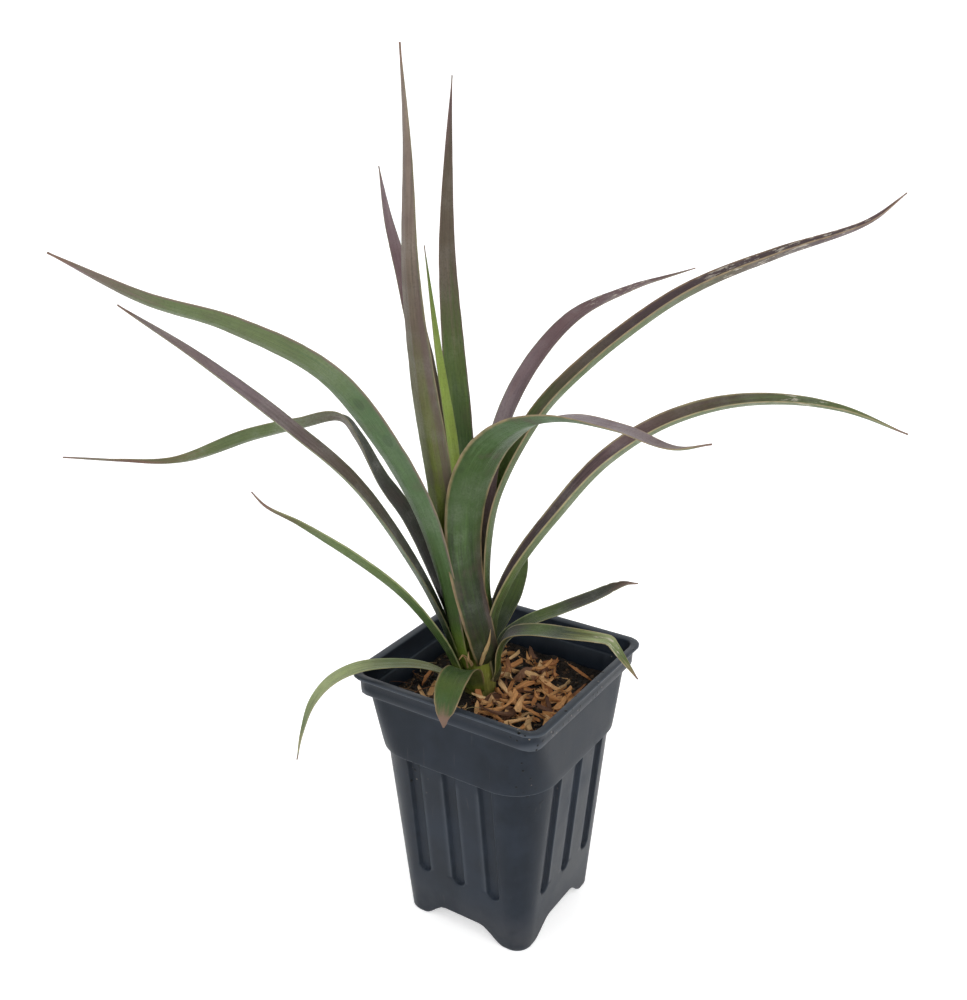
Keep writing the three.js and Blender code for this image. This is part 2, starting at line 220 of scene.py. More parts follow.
def baked(source, name):
    """A plain mesh object of what source's modifiers make. source is removed."""
    evaluated = source.evaluated_get(bpy.context.evaluated_depsgraph_get())
    mesh = bpy.data.meshes.new_from_object(evaluated)
    mesh.name = name
    bpy.data.objects.remove(source)
    built = bpy.data.objects.new(name, mesh)
    bpy.context.scene.collection.objects.link(built)
    return built


def store(mesh, name, values):
    """Stores one number for each vertex."""
    layer = mesh.attributes.new(name, "FLOAT", "POINT")
    layer.data.foreach_set("value", np.asarray(values, dtype=np.float32))


def keep(piece, slot, *nodes):
    """Puts a finished piece under its body and hides the frame nodes that it stands for. The slot argument is
    not used.
    """
    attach(piece, "root")
    if nodes:
        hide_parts(*nodes)


# ------------------------------------------------------------------ nursery pot

# Half-width and corner radius of the pot's outline at its levels, in millimetres.
FOOT = (33.4, 8.0)
SHOULDER = (43.2, 20.0)
BAND_LOW = (45.2, 21.5)
BAND_HIGH = (44.9, 8.0)
SKIRT = (47.3, 6.0)
LIP = (50.0, 7.5)
BODY_TOP = 94.3
BAND_BOTTOM = 95.4
SKIRT_BOTTOM = 123.3
GROOVE_CENTRES = (-19.3, 0.0, 19.3)
GROOVE_HALF = 3.8
GROOVE_SLOPE = 1.4
GROOVE_BOTTOM = 28.0
FACE_END = 23.15  # the columns on a face end here, at the side of the outer grooves
CORNER_COLUMNS = 14
OFF_FACE = 99.0  # stands for a column round a corner, which no groove or arch reaches
ARCH_HEIGHT = 8.5
ARCH_HALF = 23.0
ARCH_ROOF_HALF = 10.0
DRAIN_RADIUS = 3.5
WALL = 1.3  # the wall that the soil lies against
DRAIN_REACH = 15.0
POT_SHARP = 38.0  # degrees past which an edge of the pot is sharp


def smooth_step(value):
    """0 up to 1, level at both ends."""
    held = np.clip(value, 0.0, 1.0)
    return held * held * (3.0 - 2.0 * held)


def face_columns():
    """Distances along a face, closest together on the slopes of its grooves."""
    offsets = [0.0, 0.8, 1.6, 2.4, 2.75, 3.1, 3.45, 3.8]
    columns = {-FACE_END, FACE_END, -9.65, -7.0, -12.3, 9.65, 7.0, 12.3}
    for centre in GROOVE_CENTRES:
        columns.update(round(centre + sign * offset, 3) for offset in offsets for sign in (-1, 1))
    return np.array(sorted(c for c in columns if abs(c) <= FACE_END))


FACE = face_columns()
COLUMNS = 4 * (len(FACE) + CORNER_COLUMNS)


def pot_ring(half, radius):
    """x and y of every column on a rounded square, and each column's distance along its face.

    half and radius are numbers, or an array with a value for each column.
    """
    half = np.broadcast_to(np.asarray(half, float), (COLUMNS,)).reshape(4, -1)
    radius = np.broadcast_to(np.asarray(radius, float), (COLUMNS,)).reshape(4, -1)
    count = len(FACE)
    along = np.tile(FACE, (4, 1))
    depth = -half[:, :count]
    share = np.arange(1, CORNER_COLUMNS + 1) / (CORNER_COLUMNS + 1)
    h, r = half[:, count:], radius[:, count:]
    straight = h - r - FACE_END
    total = 2 * straight + r * math.pi / 2
    travel = share * total
    turn = np.clip((travel - straight) / r, 0.0, math.pi / 2)
    before = np.minimum(travel, straight)
    after = np.maximum(travel - straight - r * math.pi / 2, 0.0)
    corner_x = FACE_END + before + r * np.sin(turn)
    corner_y = -h + r * (1 - np.cos(turn)) + after
    x = np.concatenate([along, corner_x], axis=1)
    y = np.concatenate([depth, corner_y], axis=1)
    face_x = np.concatenate([along, np.full_like(corner_x, OFF_FACE)], axis=1)
    points = []
    for side, (c, s) in enumerate(((1, 0), (0, 1), (-1, 0), (0, -1))):
        points.append(np.stack([c * x[side] - s * y[side], s * x[side] + c * y[side]], axis=1))
    return np.concatenate(points), face_x.reshape(-1)


def arch_height(distance):
    """The height of the arches between the feet at a distance from the pot's middle line."""
    return ARCH_HEIGHT * smooth_step((ARCH_HALF - np.abs(distance)) / (ARCH_HALF - ARCH_ROOF_HALF))


def groove_depth(face_x, z, depth, widen=0.0):
    """How far in the grooves take the wall at a place on a face."""
    end = GROOVE_BOTTOM + GROOVE_HALF
    inside = np.full_like(face_x, -OFF_FACE)
    for centre in GROOVE_CENTRES:
        below = np.maximum(end - z, 0.0)
        inside = np.maximum(inside, GROOVE_HALF + widen - np.hypot(face_x - centre, below))
    return depth * smooth_step(inside / GROOVE_SLOPE)


def body_row(height, inset, groove):
    """One row of the pot's tapered body, lifted over the arches and let in at the grooves."""
    _, face_x = pot_ring(*FOOT)
    lift = np.where(np.abs(face_x) < OFF_FACE, arch_height(face_x), 0.0)
    z = height + lift * max(1.0 - height / 20.0, 0.0)
    share = z / BODY_TOP
    half = FOOT[0] + (SHOULDER[0] - FOOT[0]) * share - inset
    radius = FOOT[1] + (SHOULDER[1] - FOOT[1]) * share - inset
    outer, _ = pot_ring(half, radius)
    widen = 1.0 if inset > 1.0 else 0.0
    let_in = groove_depth(face_x, z, groove, widen)
    normal = np.zeros_like(outer)
    side = np.repeat(np.arange(4), COLUMNS // 4)
    normal[:, 0] = np.array([0, 1, 0, -1])[side]
    normal[:, 1] = np.array([-1, 0, 1, 0])[side]
    place = outer - normal * let_in[:, None]
    return np.column_stack([place, z])


def level_row(outline, inset, z):
    """A level ring of the band, the skirt or the lip."""
    ring, _ = pot_ring(outline[0] - inset, max(outline[1] - inset, 1.0))
    return np.column_stack([ring, np.full(len(ring), z)])


def floor_rows(edge, lift):
    """Rings from the edge of the floor in to the drain hole in its middle."""
    rows = []
    reach = edge[:, :2]
    for half in (31, 28, 25, 23, 21.5, 20, 18.5, 17, 15.5, 14, 12.5, 11, 10, 8, 6, 4.6):
        ring = reach * (half / 32.7)
        z = np.maximum(arch_height(ring[:, 0]), arch_height(ring[:, 1])) + lift
        rows.append(np.column_stack([ring, z]))
    hole = DRAIN_RADIUS * reach / np.linalg.norm(reach, axis=1)[:, None]
    rows.append(np.column_stack([hole, np.full(len(hole), ARCH_HEIGHT + lift)]))
    return rows


def between(first, second, share):
    """An outline between two others."""
    return tuple(a + (b - a) * share for a, b in zip(first, second))


def pot_mesh(settings):
    """The pot as one thin-walled closed mesh, drain holes not yet cut."""
    wall = settings.wall / MM
    groove = settings.groove_depth / MM
    heights = [0.0, 0.25, 0.8, 2, 4, 6, 8, 11, 15, 20, 25, 27.4]
    heights += list(np.linspace(27.9, 32.2, 11)) + [34, 40, 50, 60, 70, 80, 88, 92, BODY_TOP]
    insets = {0.0: 0.7, 0.25: 0.25}
    outside = [body_row(h, insets.get(h, 0.0), groove) for h in heights]
    outside += [
        level_row(between(SHOULDER, BAND_LOW, 0.25), 0.0, BODY_TOP + 0.25),
        level_row(between(SHOULDER, BAND_LOW, 0.7), 0.0, BODY_TOP + 0.5),
        level_row(between(SHOULDER, BAND_LOW, 0.95), 0.0, BODY_TOP + 0.95),
        level_row(BAND_LOW, 0.0, BAND_BOTTOM + 0.5),
    ]
    for share in (0.15, 0.35, 0.55, 0.75, 0.92, 1.0):
        z = BAND_BOTTOM + (SKIRT_BOTTOM - 0.4 - BAND_BOTTOM) * share
        outside.append(level_row(between(BAND_LOW, BAND_HIGH, share), 0.0, z))
    top = POT_TOP / MM
    outside += [
        level_row(BAND_HIGH, -0.3, SKIRT_BOTTOM),
        level_row(BAND_HIGH, -1.3, SKIRT_BOTTOM + 0.15),
        level_row(SKIRT, 0.3, SKIRT_BOTTOM + 0.4),
        level_row(SKIRT, 0.0, SKIRT_BOTTOM + 0.9),
        level_row(SKIRT, -0.1, SKIRT_BOTTOM + 4),
        level_row(SKIRT, -0.2, top - 2.2),
        level_row(SKIRT, -0.6, top - 1.7),
        level_row(LIP, 1.0, top - 1.45),
        level_row(LIP, 0.25, top - 1.3),
        level_row(LIP, 0.0, top - 0.9),
        level_row(LIP, 0.0, top - 0.5),
        level_row(LIP, 0.2, top - 0.15),
        level_row(LIP, 0.6, top),
    ]
    inside = [
        level_row(SKIRT, wall - 0.7, top),
        level_row(SKIRT, wall - 0.2, top - 0.3),
        level_row(SKIRT, wall, top - 1.1),
        level_row(SKIRT, wall, SKIRT_BOTTOM + wall + 0.7),
        level_row(SKIRT, wall + 0.3, SKIRT_BOTTOM + wall + 0.2),
        level_row(BAND_HIGH, wall - 0.4, SKIRT_BOTTOM + wall),
        level_row(BAND_HIGH, wall, SKIRT_BOTTOM + wall - 0.5),
        level_row(between(BAND_LOW, BAND_HIGH, 0.5), wall, 0.5 * (BAND_BOTTOM + SKIRT_BOTTOM)),
        level_row(BAND_LOW, wall, BAND_BOTTOM + 1.2),
    ]
    inside += [body_row(h, wall, groove) for h in (BODY_TOP, 80, 60, 40, 32, 30, 28, 24, 16, 8, wall + 0.4)]
    underside = floor_rows(outside[0], 0.0)
    floor = floor_rows(inside[-1] * 32.7 / 32.1, wall)
    rows = underside[::-1] + outside + inside + floor
    vertices = np.concatenate(rows) * MM
    faces = ring_faces(len(rows), COLUMNS)
    last = (len(rows) - 1) * COLUMNS
    for column in range(COLUMNS):
        following = (column + 1) % COLUMNS
        faces.append((last + column, last + following, following, column))
    return mesh_object("nursery_pot_shell", vertices, faces, POT_SHARP)


def drain_pins():
    """Four pins that cut the outer drain holes."""
    tool = bmesh.new()
    for x, y in ((1, 0), (-1, 0), (0, 1), (0, -1)):
        spot = Matrix.Translation((x * DRAIN_REACH * MM, y * DRAIN_REACH * MM, ARCH_HEIGHT * MM))
        radius = DRAIN_RADIUS * MM
        bmesh.ops.create_cone(
            tool, cap_ends=True, segments=32, radius1=radius, radius2=radius, depth=0.006, matrix=spot
        )
    mesh = bpy.data.meshes.new("drain_pins")
    tool.to_mesh(mesh)
    tool.free()
    pins = bpy.data.objects.new("drain_pins", mesh)
    bpy.context.scene.collection.objects.link(pins)
    return pins


def splash_mask(tree, place, scale, chance, where):
    """Small round spots in the share of cells above chance, in patches and only where wanted."""
    cells = add_node(tree, "ShaderNodeTexVoronoi", {"Vector": place, "Scale": scale})
    lot = add_node(tree, "ShaderNodeSeparateColor", {"Color": cells.outputs["Color"]}).outputs["Red"]
    spot = spread(tree, cells.outputs["Distance"], 0.3, 0.22)
    chosen = calculate(tree, "MULTIPLY", spot, spread(tree, lot, chance, chance + 0.02))
    patch = spread(tree, noise_of(tree, place, 70.0, 1.0), 0.38, 0.5)
    return calculate(tree, "MULTIPLY", calculate(tree, "MULTIPLY", chosen, patch), where)


def plastic_material(settings):
    """Charcoal moulded plastic: a fine grain, soft flow marks, dust low down, dried splashes and a painted
    highlight along convex edges.
    """
    material, tree, shader = new_material("satin charcoal plastic", Specular_IOR_Level=0.13)
    place = object_place(tree)
    grain = noise_of(tree, place, 2600.0, 2.0)
    flow = noise_of(tree, stretched(tree, place, (60.0, 60.0, 9.0)), 1.0, 3.0)
    cloud = noise_of(tree, place, 34.0, 4.0, 0.6)
    scuff = noise_of(tree, stretched(tree, place, (900.0, 900.0, 40.0)), 1.0, 2.0)
    height = add_node(tree, "ShaderNodeSeparateXYZ", {"Vector": place}).outputs["Z"]

    body = blend(tree, spread(tree, cloud, 0.35, 0.7), settings.plastic, settings.plastic_worn)
    body = blend(tree, spread(tree, flow, 0.4, 0.75, 0.0, 0.35), body, settings.plastic_worn)
    low_dust = spread(tree, height, 0.03, 0.0, 0.0, 0.14)
    dusty = calculate(tree, "MULTIPLY", spread(tree, cloud, 0.4, 0.65), low_dust)
    dusty = calculate(tree, "ADD", dusty, spread(tree, scuff, 0.66, 0.8, 0.0, 0.12), clamp=True)
    body = blend(tree, dusty, body, settings.dust)
    # Painted highlight: the convex edges of the rim, the band and the grooves turn pale blue-grey, as if they
    # caught the light.
    edges = add_node(tree, "ShaderNodeNewGeometry").outputs["Pointiness"]
    body = blend(tree, spread(tree, edges, 0.515, 0.56, 0.0, 0.5), body, linear((84, 90, 98)))

    # Specks of wet soil and a few dried splashes: on the right face, and high on the left one.
    sides = add_node(tree, "ShaderNodeSeparateXYZ", {"Vector": place}).outputs
    high_up = spread(tree, height, 0.08, 0.1)
    right = calculate(tree, "MULTIPLY", spread(tree, sides["X"], 0.03, 0.04), high_up)
    low_down = spread(tree, height, 0.1, 0.09)
    below_band = calculate(tree, "MULTIPLY", spread(tree, height, 0.07, 0.085), low_down)
    left = calculate(tree, "MULTIPLY", spread(tree, sides["X"], -0.01, -0.016), below_band)
    spattered = calculate(tree, "MAXIMUM", right, calculate(tree, "MULTIPLY", left, 0.9))
    wet = splash_mask(tree, place, 360.0, 0.6, spattered)
    dried = splash_mask(tree, place, 610.0, 0.93, spattered)
    body = blend(tree, wet, body, linear((2, 2, 2)))
    body = blend(tree, dried, body, settings.dust)
    splash = calculate(tree, "MAXIMUM", wet, dried)

    roughness = spread(tree, cloud, 0.3, 0.75, settings.roughness - 0.06, settings.roughness + 0.1)
    roughness = calculate(tree, "ADD", roughness, calculate(tree, "MULTIPLY", dusty, 0.3), clamp=True)
    relief = calculate(tree, "MULTIPLY_ADD", grain, 0.35, calculate(tree, "MULTIPLY", flow, 0.9))
    relief = calculate(tree, "ADD", relief, calculate(tree, "MULTIPLY", splash, 0.8))
    finish_material(tree, shader, body, roughness, relief, 0.00012)
    return material


class YuccaPotSettings(bpy.types.PropertyGroup):
    """Sizes and colours of the nursery pot."""

    wall: bpy.props.FloatProperty(
        name="Wall", description="Thickness of the pot's wall", default=0.0013, unit="LENGTH"
    )
    groove_depth: bpy.props.FloatProperty(
        name="Groove depth", description="Depth of the grooves in each face", default=0.0019, unit="LENGTH"
    )
    roughness: bpy.props.FloatProperty(
        name="Roughness", description="Roughness of the clean plastic", default=0.38, subtype="FACTOR"
    )
    plastic: bpy.props.FloatVectorProperty(
        name="Plastic", description="Colour of the plastic", subtype="COLOR", size=4,
        default=linear((24, 30, 38)),
    )
    plastic_worn: bpy.props.FloatVectorProperty(
        name="Rubbed plastic", description="Colour where the plastic is rubbed", subtype="COLOR", size=4,
        default=linear((34, 41, 51)),
    )
    dust: bpy.props.FloatVectorProperty(
        name="Dust", description="Colour of dust and dried splashes", subtype="COLOR", size=4,
        default=linear((112, 104, 96)),
    )


class YUCCA_OT_nursery_pot(bpy.types.Operator):
    """Build the nursery pot with its grooves, feet, rim and drain holes"""

    bl_idname = "yucca.nursery_pot"
    bl_label = "Nursery pot"

    def execute(self, context):
        settings = context.scene.yucca_pot
        shell = pot_mesh(settings)
        pins = drain_pins()
        cut = shell.modifiers.new("Drain holes", "BOOLEAN")
        cut.operation = "DIFFERENCE"
        cut.solver = "EXACT"
        cut.object = pins
        pot = baked(shell, "square_nursery_pot")
        bpy.data.objects.remove(pins)
        pot.data.shade_smooth()
        pot.data.set_sharp_from_angle(angle=math.radians(POT_SHARP))
        pot.data.materials.clear()
        pot.data.materials.append(plastic_material(settings))
        keep(pot, "pot_plastic", "nursery_pot")
        return {"FINISHED"}


# ------------------------------------------------------------------ potting soil


def right_of_stem(x, y):
    """How far a place lies to the right of the stem, seen from the pot's front corner."""
    return 0.84 * (x - STEM_AXIS[0]) + 0.55 * (y - STEM_AXIS[1])


def from_stem(x, y):
    """How far a place lies from the stem's axis."""
    return math.hypot(x - STEM_AXIS[0], y - STEM_AXIS[1])


def soil_height(x, y):
    """Height of the soil's surface in metres, lumpy and drawn up a little round the stem."""
    place = Vector((x, y, 0.0))
    lumps = 0.0011 * noise.noise(place * 110.0) + 0.0006 * noise.noise(place * 330.0)
    grains = 0.00035 * noise.noise(place * 900.0)
    away = from_stem(x, y)
    mound = 0.0012 * math.exp(-((away / 0.014) ** 2))
    return SOIL_TOP - 0.0008 + lumps + grains + mound


def soil_mesh(settings):
    """The body of potting mix in the pot, with a fine lumpy top."""
    around = 300
    rings = 56
    inset = WALL + settings.gap / MM
    angles = np.linspace(0, 2 * math.pi, around, endpoint=False)
    direction = np.column_stack([np.cos(angles), np.sin(angles)])

    def outline(half, radius):
        """A rounded square as a reach in each direction."""
        power = 2.0 + 10.0 * (1.0 - radius / half)
        reach = (np.abs(direction[:, 0]) ** power + np.abs(direction[:, 1]) ** power) ** (-1 / power)
        return direction * (reach * half)[:, None]

    levels = [(10.3, 30.0, 6.0), (60, 36.5, 13.0), (93, 39.0, 17.5), (98, 43.0, 20.0), (113, 43.2, 12.0)]
    rows = [np.column_stack([outline(half, radius), np.full(around, z)]) for z, half, radius in levels]
    rim = outline(BAND_HIGH[0] - inset, BAND_HIGH[1])
    for ring in range(rings):
        share = 1.0 - (ring / rings) ** 1.1
        flat = rim * share
        z = [soil_height(x * MM, y * MM) / MM for x, y in flat]
        rows.append(np.column_stack([flat, z]))
    vertices = list(np.concatenate(rows) * MM)
    faces = ring_faces(len(rows), around)
    bottom, top = len(vertices), len(vertices) + 1
    vertices += [(0.0, 0.0, levels[0][0] * MM), (0.0, 0.0, soil_height(0.0, 0.0))]
    last = (len(rows) - 1) * around
    for column in range(around):
        following = (column + 1) % around
        faces.append((following, column, bottom))
        faces.append((last + column, last + following, top))
    return mesh_object("potting_mix", vertices, faces, 180.0)


def soil_material(settings):
    """Dark moist potting mix with paler crumbs and a few bright grains."""
    material, tree, shader = new_material("moist potting mix", Specular_IOR_Level=0.35)
    place = object_place(tree)
    lumps = noise_of(tree, place, 260.0, 6.0, 0.65)
    grains = noise_of(tree, place, 1300.0, 3.0, 0.6)
    cells = add_node(tree, "ShaderNodeTexVoronoi", {"Vector": place, "Scale": 700.0})
    chance = add_node(tree, "ShaderNodeSeparateColor", {"Color": cells.outputs["Color"]}).outputs["Red"]
    colour = blend(tree, spread(tree, lumps, 0.35, 0.72), settings.soil, settings.soil_light)
    colour = blend(tree, spread(tree, grains, 0.6, 0.8, 0.0, 0.5), colour, settings.soil_light)
    grit = calculate(tree, "MULTIPLY", spread(tree, chance, 0.95, 0.97), 0.5)
    colour = blend(tree, grit, colour, linear("dry tan"))
    roughness = spread(tree, lumps, 0.3, 0.7, 0.55, 0.95)
    relief = calculate(tree, "ADD", lumps, calculate(tree, "MULTIPLY", grains, 0.5))
    finish_material(tree, shader, colour, roughness, relief, 0.0012)
    return material


class YuccaSoilSettings(bpy.types.PropertyGroup):
    """Sizes, counts and colours of the soil and what lies on it."""

    gap: bpy.props.FloatProperty(
        name="Gap", description="Gap between the soil and the pot", default=0.00035, unit="LENGTH"
    )
    crumbs: bpy.props.FloatProperty(
        name="Crumbs", description="Crumbs of soil per square metre", default=330000.0
    )
    chips: bpy.props.FloatProperty(
        name="Chips", description="Bark shreds per square metre where they lie thickest", default=62000.0
    )
    fibres: bpy.props.FloatProperty(
        name="Fibres", description="Dry fibres per square metre where they lie thickest", default=26000.0
    )
    soil: bpy.props.FloatVectorProperty(
        name="Soil", description="Colour of moist soil", subtype="COLOR", size=4, default=linear("soil")
    )
    soil_light: bpy.props.FloatVectorProperty(
        name="Dry soil", description="Colour of drier crumbs", subtype="COLOR", size=4,
        default=linear("soil light"),
    )


class YUCCA_OT_potting_soil(bpy.types.Operator):
    """Build the body of potting soil in the pot"""

    bl_idname = "yucca.potting_soil"
    bl_label = "Potting soil"

    def execute(self, context):
        settings = context.scene.yucca_soil
        soil = soil_mesh(settings)
        soil.data.materials.append(soil_material(settings))
        keep(soil, "soil", "potting_soil")
        return {"FINISHED"}


# ------------------------------------------------------------------ things that lie on the soil


LITTER_REACH = 0.0418  # crumbs, chips and fibres are held inside the pot's wall
LITTER_CELLS = 84
LITTER_SIDE = 0.0434  # half the side of the box that holds the litter
LITTER_CORNER = 0.0785  # how far the litter may reach towards a corner, as x plus y
GOLDEN_STEP = 0.381966  # spreads the tones of the larger shreds evenly


def chip_share(x, y):
    """How thickly bark shreds lie at a place: heaped in front and to the right of the stem."""
    right = right_of_stem(x, y)
    near = 0.55 * x - 0.84 * y
    away = from_stem(x, y)
    if away < 0.010 or abs(x) + abs(y) > 0.068:
        return 0.0
    drift = noise.noise(Vector((x, y, 0.3)) * 75.0)
    share = float(smooth_step((right + 0.016) / 0.02)) + 0.3 * float(smooth_step((near - 0.012) / 0.02))
    bare_back = float(smooth_step((0.036 - 0.465 * x - 0.885 * y) / 0.007))
    return min(max(share * (0.75 + 0.9 * drift) * bare_back, 0.03), 1.3)


def fibre_share(x, y):
    """How thickly dry fibres lie at a place: most to the left of the stem."""
    right = right_of_stem(x, y)
    away = from_stem(x, y)
    if away < 0.011 or abs(x) + abs(y) > 0.072:
        return 0.0
    return 0.25 + 0.75 * float(smooth_step((0.004 - right) / 0.02))


def litter_ground():
    """A sheet that follows the soil's surface, with how thickly chips and fibres lie on it."""
    steps = np.linspace(-LITTER_REACH, LITTER_REACH, LITTER_CELLS + 1)
    vertices = [(x, y, soil_height(x, y)) for y in steps for x in steps]
    side = LITTER_CELLS + 1
    firsts = [row * side + column for row in range(LITTER_CELLS) for column in range(LITTER_CELLS)]
    faces = [(first, first + 1, first + side + 1, first + side) for first in firsts]
    ground = mesh_object("litter_ground", vertices, faces, 180.0)
    store(ground.data, "chip_share", [chip_share(x, y) for x, y, _ in vertices])
    store(ground.data, "fibre_share", [fibre_share(x, y) for x, y, _ in vertices])
    store(ground.data, "crumb_share", [1.0] * len(vertices))
    return ground


class Nodes:
    """A geometry node tree that is being built, with short calls for its nodes."""

    def __init__(self, name, inputs):
        self.tree = bpy.data.node_groups.new(name, "GeometryNodeTree")
        face = self.tree.interface
        face.new_socket("Ground", in_out="INPUT", socket_type="NodeSocketGeometry")
        for label, default in inputs.items():
            kind = "NodeSocketInt" if isinstance(default, int) else "NodeSocketFloat"
            face.new_socket(label, in_out="INPUT", socket_type=kind).default_value = default
        face.new_socket("Pieces", in_out="OUTPUT", socket_type="NodeSocketGeometry")
        self.input = self.tree.nodes.new("NodeGroupInput").outputs

    def add(self, kind, inputs=None, **attributes):
        """Adds a node and returns it."""
        return add_node(self.tree, kind, inputs, **attributes)

    def named(self, name, kind="FLOAT"):
        """The value of a stored attribute."""
        node = self.add("GeometryNodeInputNamedAttribute", {"Name": name}, data_type=kind)
        return node.outputs["Attribute"]

    def random(self, low, high, seed):
        """A random number or vector for each piece."""
        vector = isinstance(low, tuple)
        node = self.add("FunctionNodeRandomValue", data_type="FLOAT_VECTOR" if vector else "FLOAT")
        first = 0 if vector else 2
        node.inputs[first].default_value = low
        node.inputs[first + 1].default_value = high
        node.inputs["Seed"].default_value = seed
        return node.outputs[0 if vector else 1]

    def scattered(self, share):
        """Points on the ground, as thick as the stored share says."""
        density = calculate(self.tree, "MULTIPLY", self.named(share), self.input["Density"])
        inputs = {"Mesh": self.input["Ground"], "Density": density, "Seed": self.input["Seed"]}
        return self.add("GeometryNodeDistributePointsOnFaces", inputs).outputs["Points"]

    def stored(self, geometry, name, value, domain="POINT", kind="FLOAT"):
        """Stores an attribute on the geometry."""
        inputs = {"Geometry": geometry, "Name": name, "Value": value}
        node = self.add("GeometryNodeStoreNamedAttribute", inputs, data_type=kind, domain=domain)
        return node.outputs["Geometry"]

    def finish(self, pieces, material, lowest):
        """Makes the pieces real, holds them in the pot and gives them their material."""
        real = self.add("GeometryNodeRealizeInstances", {"Geometry": pieces}).outputs["Geometry"]
        place = self.add("GeometryNodeInputPosition").outputs["Position"]
        low = self.add(
            "ShaderNodeVectorMath", {0: place, 1: (-LITTER_SIDE, -LITTER_SIDE, lowest)}, operation="MAXIMUM"
        )
        highest = (LITTER_SIDE, LITTER_SIDE, 1.0)
        held = self.add("ShaderNodeVectorMath", {0: low.outputs[0], 1: highest}, operation="MINIMUM")
        axes = self.add("ShaderNodeSeparateXYZ", {"Vector": held.outputs[0]}).outputs
        sideways = [calculate(self.tree, "ABSOLUTE", axes[name]) for name in ("X", "Y")]
        reach = calculate(self.tree, "MAXIMUM", calculate(self.tree, "ADD", *sideways), 0.001)
        share = calculate(self.tree, "MINIMUM", calculate(self.tree, "DIVIDE", LITTER_CORNER, reach), 1.0)
        drawn_in = [calculate(self.tree, "MULTIPLY", axes[name], share) for name in ("X", "Y")]
        inputs = {"X": drawn_in[0], "Y": drawn_in[1], "Z": axes["Z"]}
        spot = self.add("ShaderNodeCombineXYZ", inputs).outputs[0]
        moved = self.add("GeometryNodeSetPosition", {"Geometry": real, "Position": spot})
        painted = self.add("GeometryNodeSetMaterial", {"Geometry": moved.outputs[0], "Material": material})
        self.add("NodeGroupOutput", {"Pieces": painted.outputs[0]})
        return self.tree


def scatter(name, tree, values):
    """The plain mesh that a tree makes on the soil's surface."""
    ground = litter_ground()
    modifier = ground.modifiers.new(name, "NODES")
    modifier.node_group = tree
    for item in tree.interface.items_tree:
        if item.name in values:
            modifier[item.identifier] = values[item.name]
    built = baked(ground, name)
    built.data.shade_smooth()
    built.data.set_sharp_from_angle(angle=math.radians(50.0))
    return built


def crumb_tree(material):
    """Small lumps of soil, each an icosahedron pushed out of shape."""
    nodes = Nodes("soil crumbs", {"Density": 100000.0, "Smallest": 0.0003, "Largest": 0.0012, "Seed": 0})
    points = nodes.scattered("crumb_share")
    ball = nodes.add("GeometryNodeMeshIcoSphere", {"Radius": 1.0, "Subdivisions": 2}).outputs["Mesh"]
    rough = nodes.add("ShaderNodeTexNoise", {"Scale": 1.6, "Detail": 2.0}).outputs["Color"]
    push = nodes.add("ShaderNodeVectorMath", {0: rough, 1: (-0.5, -0.5, -0.5)}, operation="ADD").outputs[0]
    push = nodes.add("ShaderNodeVectorMath", {0: push, "Scale": 1.5}, operation="SCALE").outputs[0]
    lump = nodes.add("GeometryNodeSetPosition", {"Geometry": ball, "Offset": push}).outputs[0]
    size = nodes.random(0.0, 1.0, 3)
    size = calculate(nodes.tree, "POWER", size, 2.2)
    spare = calculate(nodes.tree, "SUBTRACT", nodes.input["Largest"], nodes.input["Smallest"])
    size = calculate(nodes.tree, "MULTIPLY_ADD", size, spare, nodes.input["Smallest"])
    inputs = {
        "Points": points, "Instance": lump, "Scale": size,
        "Rotation": nodes.random((0.0, 0.0, 0.0), (6.28, 6.28, 6.28), 5),
    }
    crumbs = nodes.add("GeometryNodeInstanceOnPoints", inputs).outputs["Instances"]
    crumbs = nodes.stored(crumbs, "tone", nodes.random(0.0, 1.0, 7), "INSTANCE")
    return nodes.finish(crumbs, material, 0.10)


# Bend, twist, how far the ends narrow, and sway of each shape of shred.
SHRED_SHAPES = (
    (4, 3, 0.7, 1), (-4, -6, 0.85, 3), (8, 2, 0.5, 2), (1.5, 9, 0.9, 4), (-2.5, -3, 0.6, 5), (11, 5, 0.7, 3),
)


def shred(nodes, bend, twist, narrow, wave):
    """One bark shred of unit size: a thin strip, bent, twisted and torn to points."""
    tree = nodes.tree
    strip = nodes.add(
        "GeometryNodeMeshCube", {"Size": (1.0, 1.0, 1.0), "Vertices X": 7, "Vertices Y": 3, "Vertices Z": 2}
    ).outputs["Mesh"]
    place = nodes.add("GeometryNodeInputPosition").outputs["Position"]
    strip = nodes.stored(strip, "grain", place, kind="FLOAT_VECTOR")
    axes = nodes.add("ShaderNodeSeparateXYZ", {"Vector": place}).outputs
    along, across, up = axes["X"], axes["Y"], axes["Z"]
    square = calculate(tree, "MULTIPLY", along, along)
    taper = calculate(tree, "MULTIPLY_ADD", square, -4.0 * narrow, 1.0)
    torn = nodes.add("ShaderNodeTexNoise", {"Vector": place, "Scale": 4.0 + wave}).outputs["Fac"]
    torn = calculate(tree, "MULTIPLY_ADD", torn, 0.8, 0.6)
    width = calculate(tree, "MULTIPLY", calculate(tree, "MULTIPLY", across, taper), torn)
    sway = calculate(tree, "MULTIPLY", calculate(tree, "SINE", calculate(tree, "MULTIPLY", along, wave)), 0.5)
    width = calculate(tree, "ADD", width, sway)
    lift = calculate(tree, "MULTIPLY_ADD", square, bend, up)
    corner = calculate(tree, "MULTIPLY", along, across)
    lift = calculate(tree, "MULTIPLY_ADD", corner, twist, lift)
    shape = nodes.add("ShaderNodeCombineXYZ", {"X": along, "Y": width, "Z": lift}).outputs[0]
    return nodes.add("GeometryNodeSetPosition", {"Geometry": strip, "Position": shape}).outputs[0]


